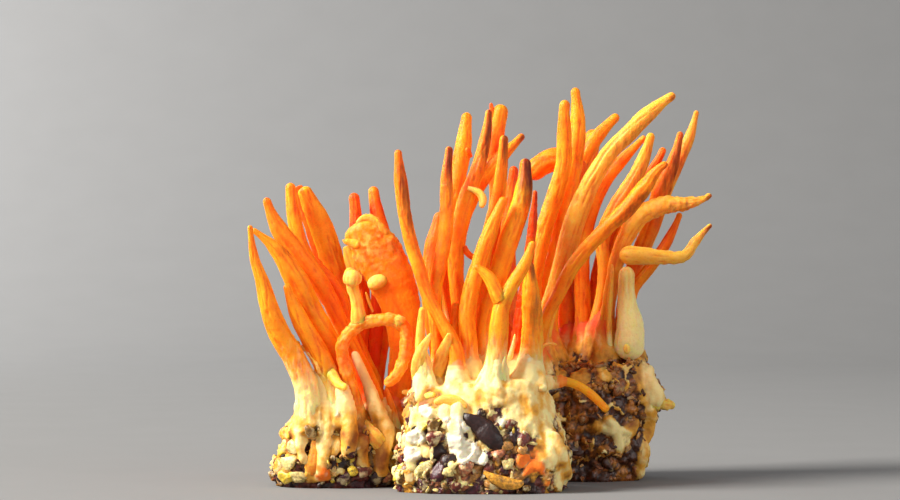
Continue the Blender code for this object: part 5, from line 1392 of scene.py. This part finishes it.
def add_light(name, place, size, power, colour="FFFFFF", target=(0, 0, 0.05)):
    """A square area light that faces a target, which is the middle of the bunch unless given."""
    light = bpy.data.lights.new(name, "AREA")
    light.size = size
    light.energy = power
    light.color = linear(colour)[:3]
    thing = bpy.data.objects.new(name, light)
    thing.location = place
    thing.rotation_euler = (Vector(target) - Vector(place)).to_track_quat("-Z", "Y").to_euler()
    bpy.context.scene.collection.objects.link(thing)


def add_camera():
    """The camera of the front view: level, looking along +Y."""
    camera = bpy.data.cameras.new("camera")
    camera.lens = LENS
    camera.sensor_width = SENSOR
    camera.clip_start = 0.01
    thing = bpy.data.objects.new("camera", camera)
    thing.location = EYE * MM
    thing.rotation_euler = (math.pi / 2, 0, 0)
    bpy.context.scene.collection.objects.link(thing)
    bpy.context.scene.camera = thing


class CORDYCEPS_OT_stage(bpy.types.Operator):
    """Lay the paper, hang the lights and set the camera"""

    bl_idname = "cordyceps.stage"
    bl_label = "Stage"

    def execute(self, context):
        settings = context.scene.cordyceps_stage
        add_paper()
        add_light("key", (-1.15, -0.45, 0.95), 0.6, settings.key_power, "FFFBF4")
        add_light("fill", (1.0, -0.8, 0.35), 0.9, settings.fill_power)
        add_light("wash", (-0.95, 0.75, 0.5), 0.3, settings.wash_power, target=(-0.55, 1.25, 0.15))
        world = bpy.data.worlds.new("studio")
        world.use_nodes = True
        feed(world.node_tree.nodes["Background"], {"Strength": settings.sky, "Color": linear("FFFFFF")})
        context.scene.world = world
        context.scene.view_settings.view_transform = "Standard"
        add_camera()
        return {"FINISHED"}


OPERATORS = (CORDYCEPS_OT_left_stalks, CORDYCEPS_OT_middle_stalks, CORDYCEPS_OT_right_stalks,
             CORDYCEPS_OT_lumps, CORDYCEPS_OT_sprigs, CORDYCEPS_OT_stage)


class CORDYCEPS_PT_panel(bpy.types.Panel):
    """The pieces of the cordyceps bunch"""

    bl_idname = "CORDYCEPS_PT_panel"
    bl_label = "Cordyceps bunch"
    bl_space_type = "VIEW_3D"
    bl_region_type = "UI"
    bl_category = "Cordyceps"

    def draw(self, context):
        for operator in OPERATORS:
            self.layout.operator(operator.bl_idname)


CLASSES = (FleshSettings, StageSettings, *OPERATORS, CORDYCEPS_PT_panel)


def register():
    """Register the classes and put their settings on the scene."""
    for thing in CLASSES:
        bpy.utils.register_class(thing)
    bpy.types.Scene.cordyceps_flesh = PointerProperty(type=FleshSettings)
    bpy.types.Scene.cordyceps_stage = PointerProperty(type=StageSettings)


def unregister():
    """Take the settings off the scene and the classes out again."""
    del bpy.types.Scene.cordyceps_stage
    del bpy.types.Scene.cordyceps_flesh
    for thing in reversed(CLASSES):
        bpy.utils.unregister_class(thing)


def main():
    """Make every piece."""
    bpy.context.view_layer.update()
    register()
    bpy.ops.cordyceps.left_stalks()
    bpy.ops.cordyceps.middle_stalks()
    bpy.ops.cordyceps.right_stalks()
    bpy.ops.cordyceps.lumps()
    bpy.ops.cordyceps.sprigs()
    bpy.ops.cordyceps.stage()


if __name__ == "__main__":
    main()
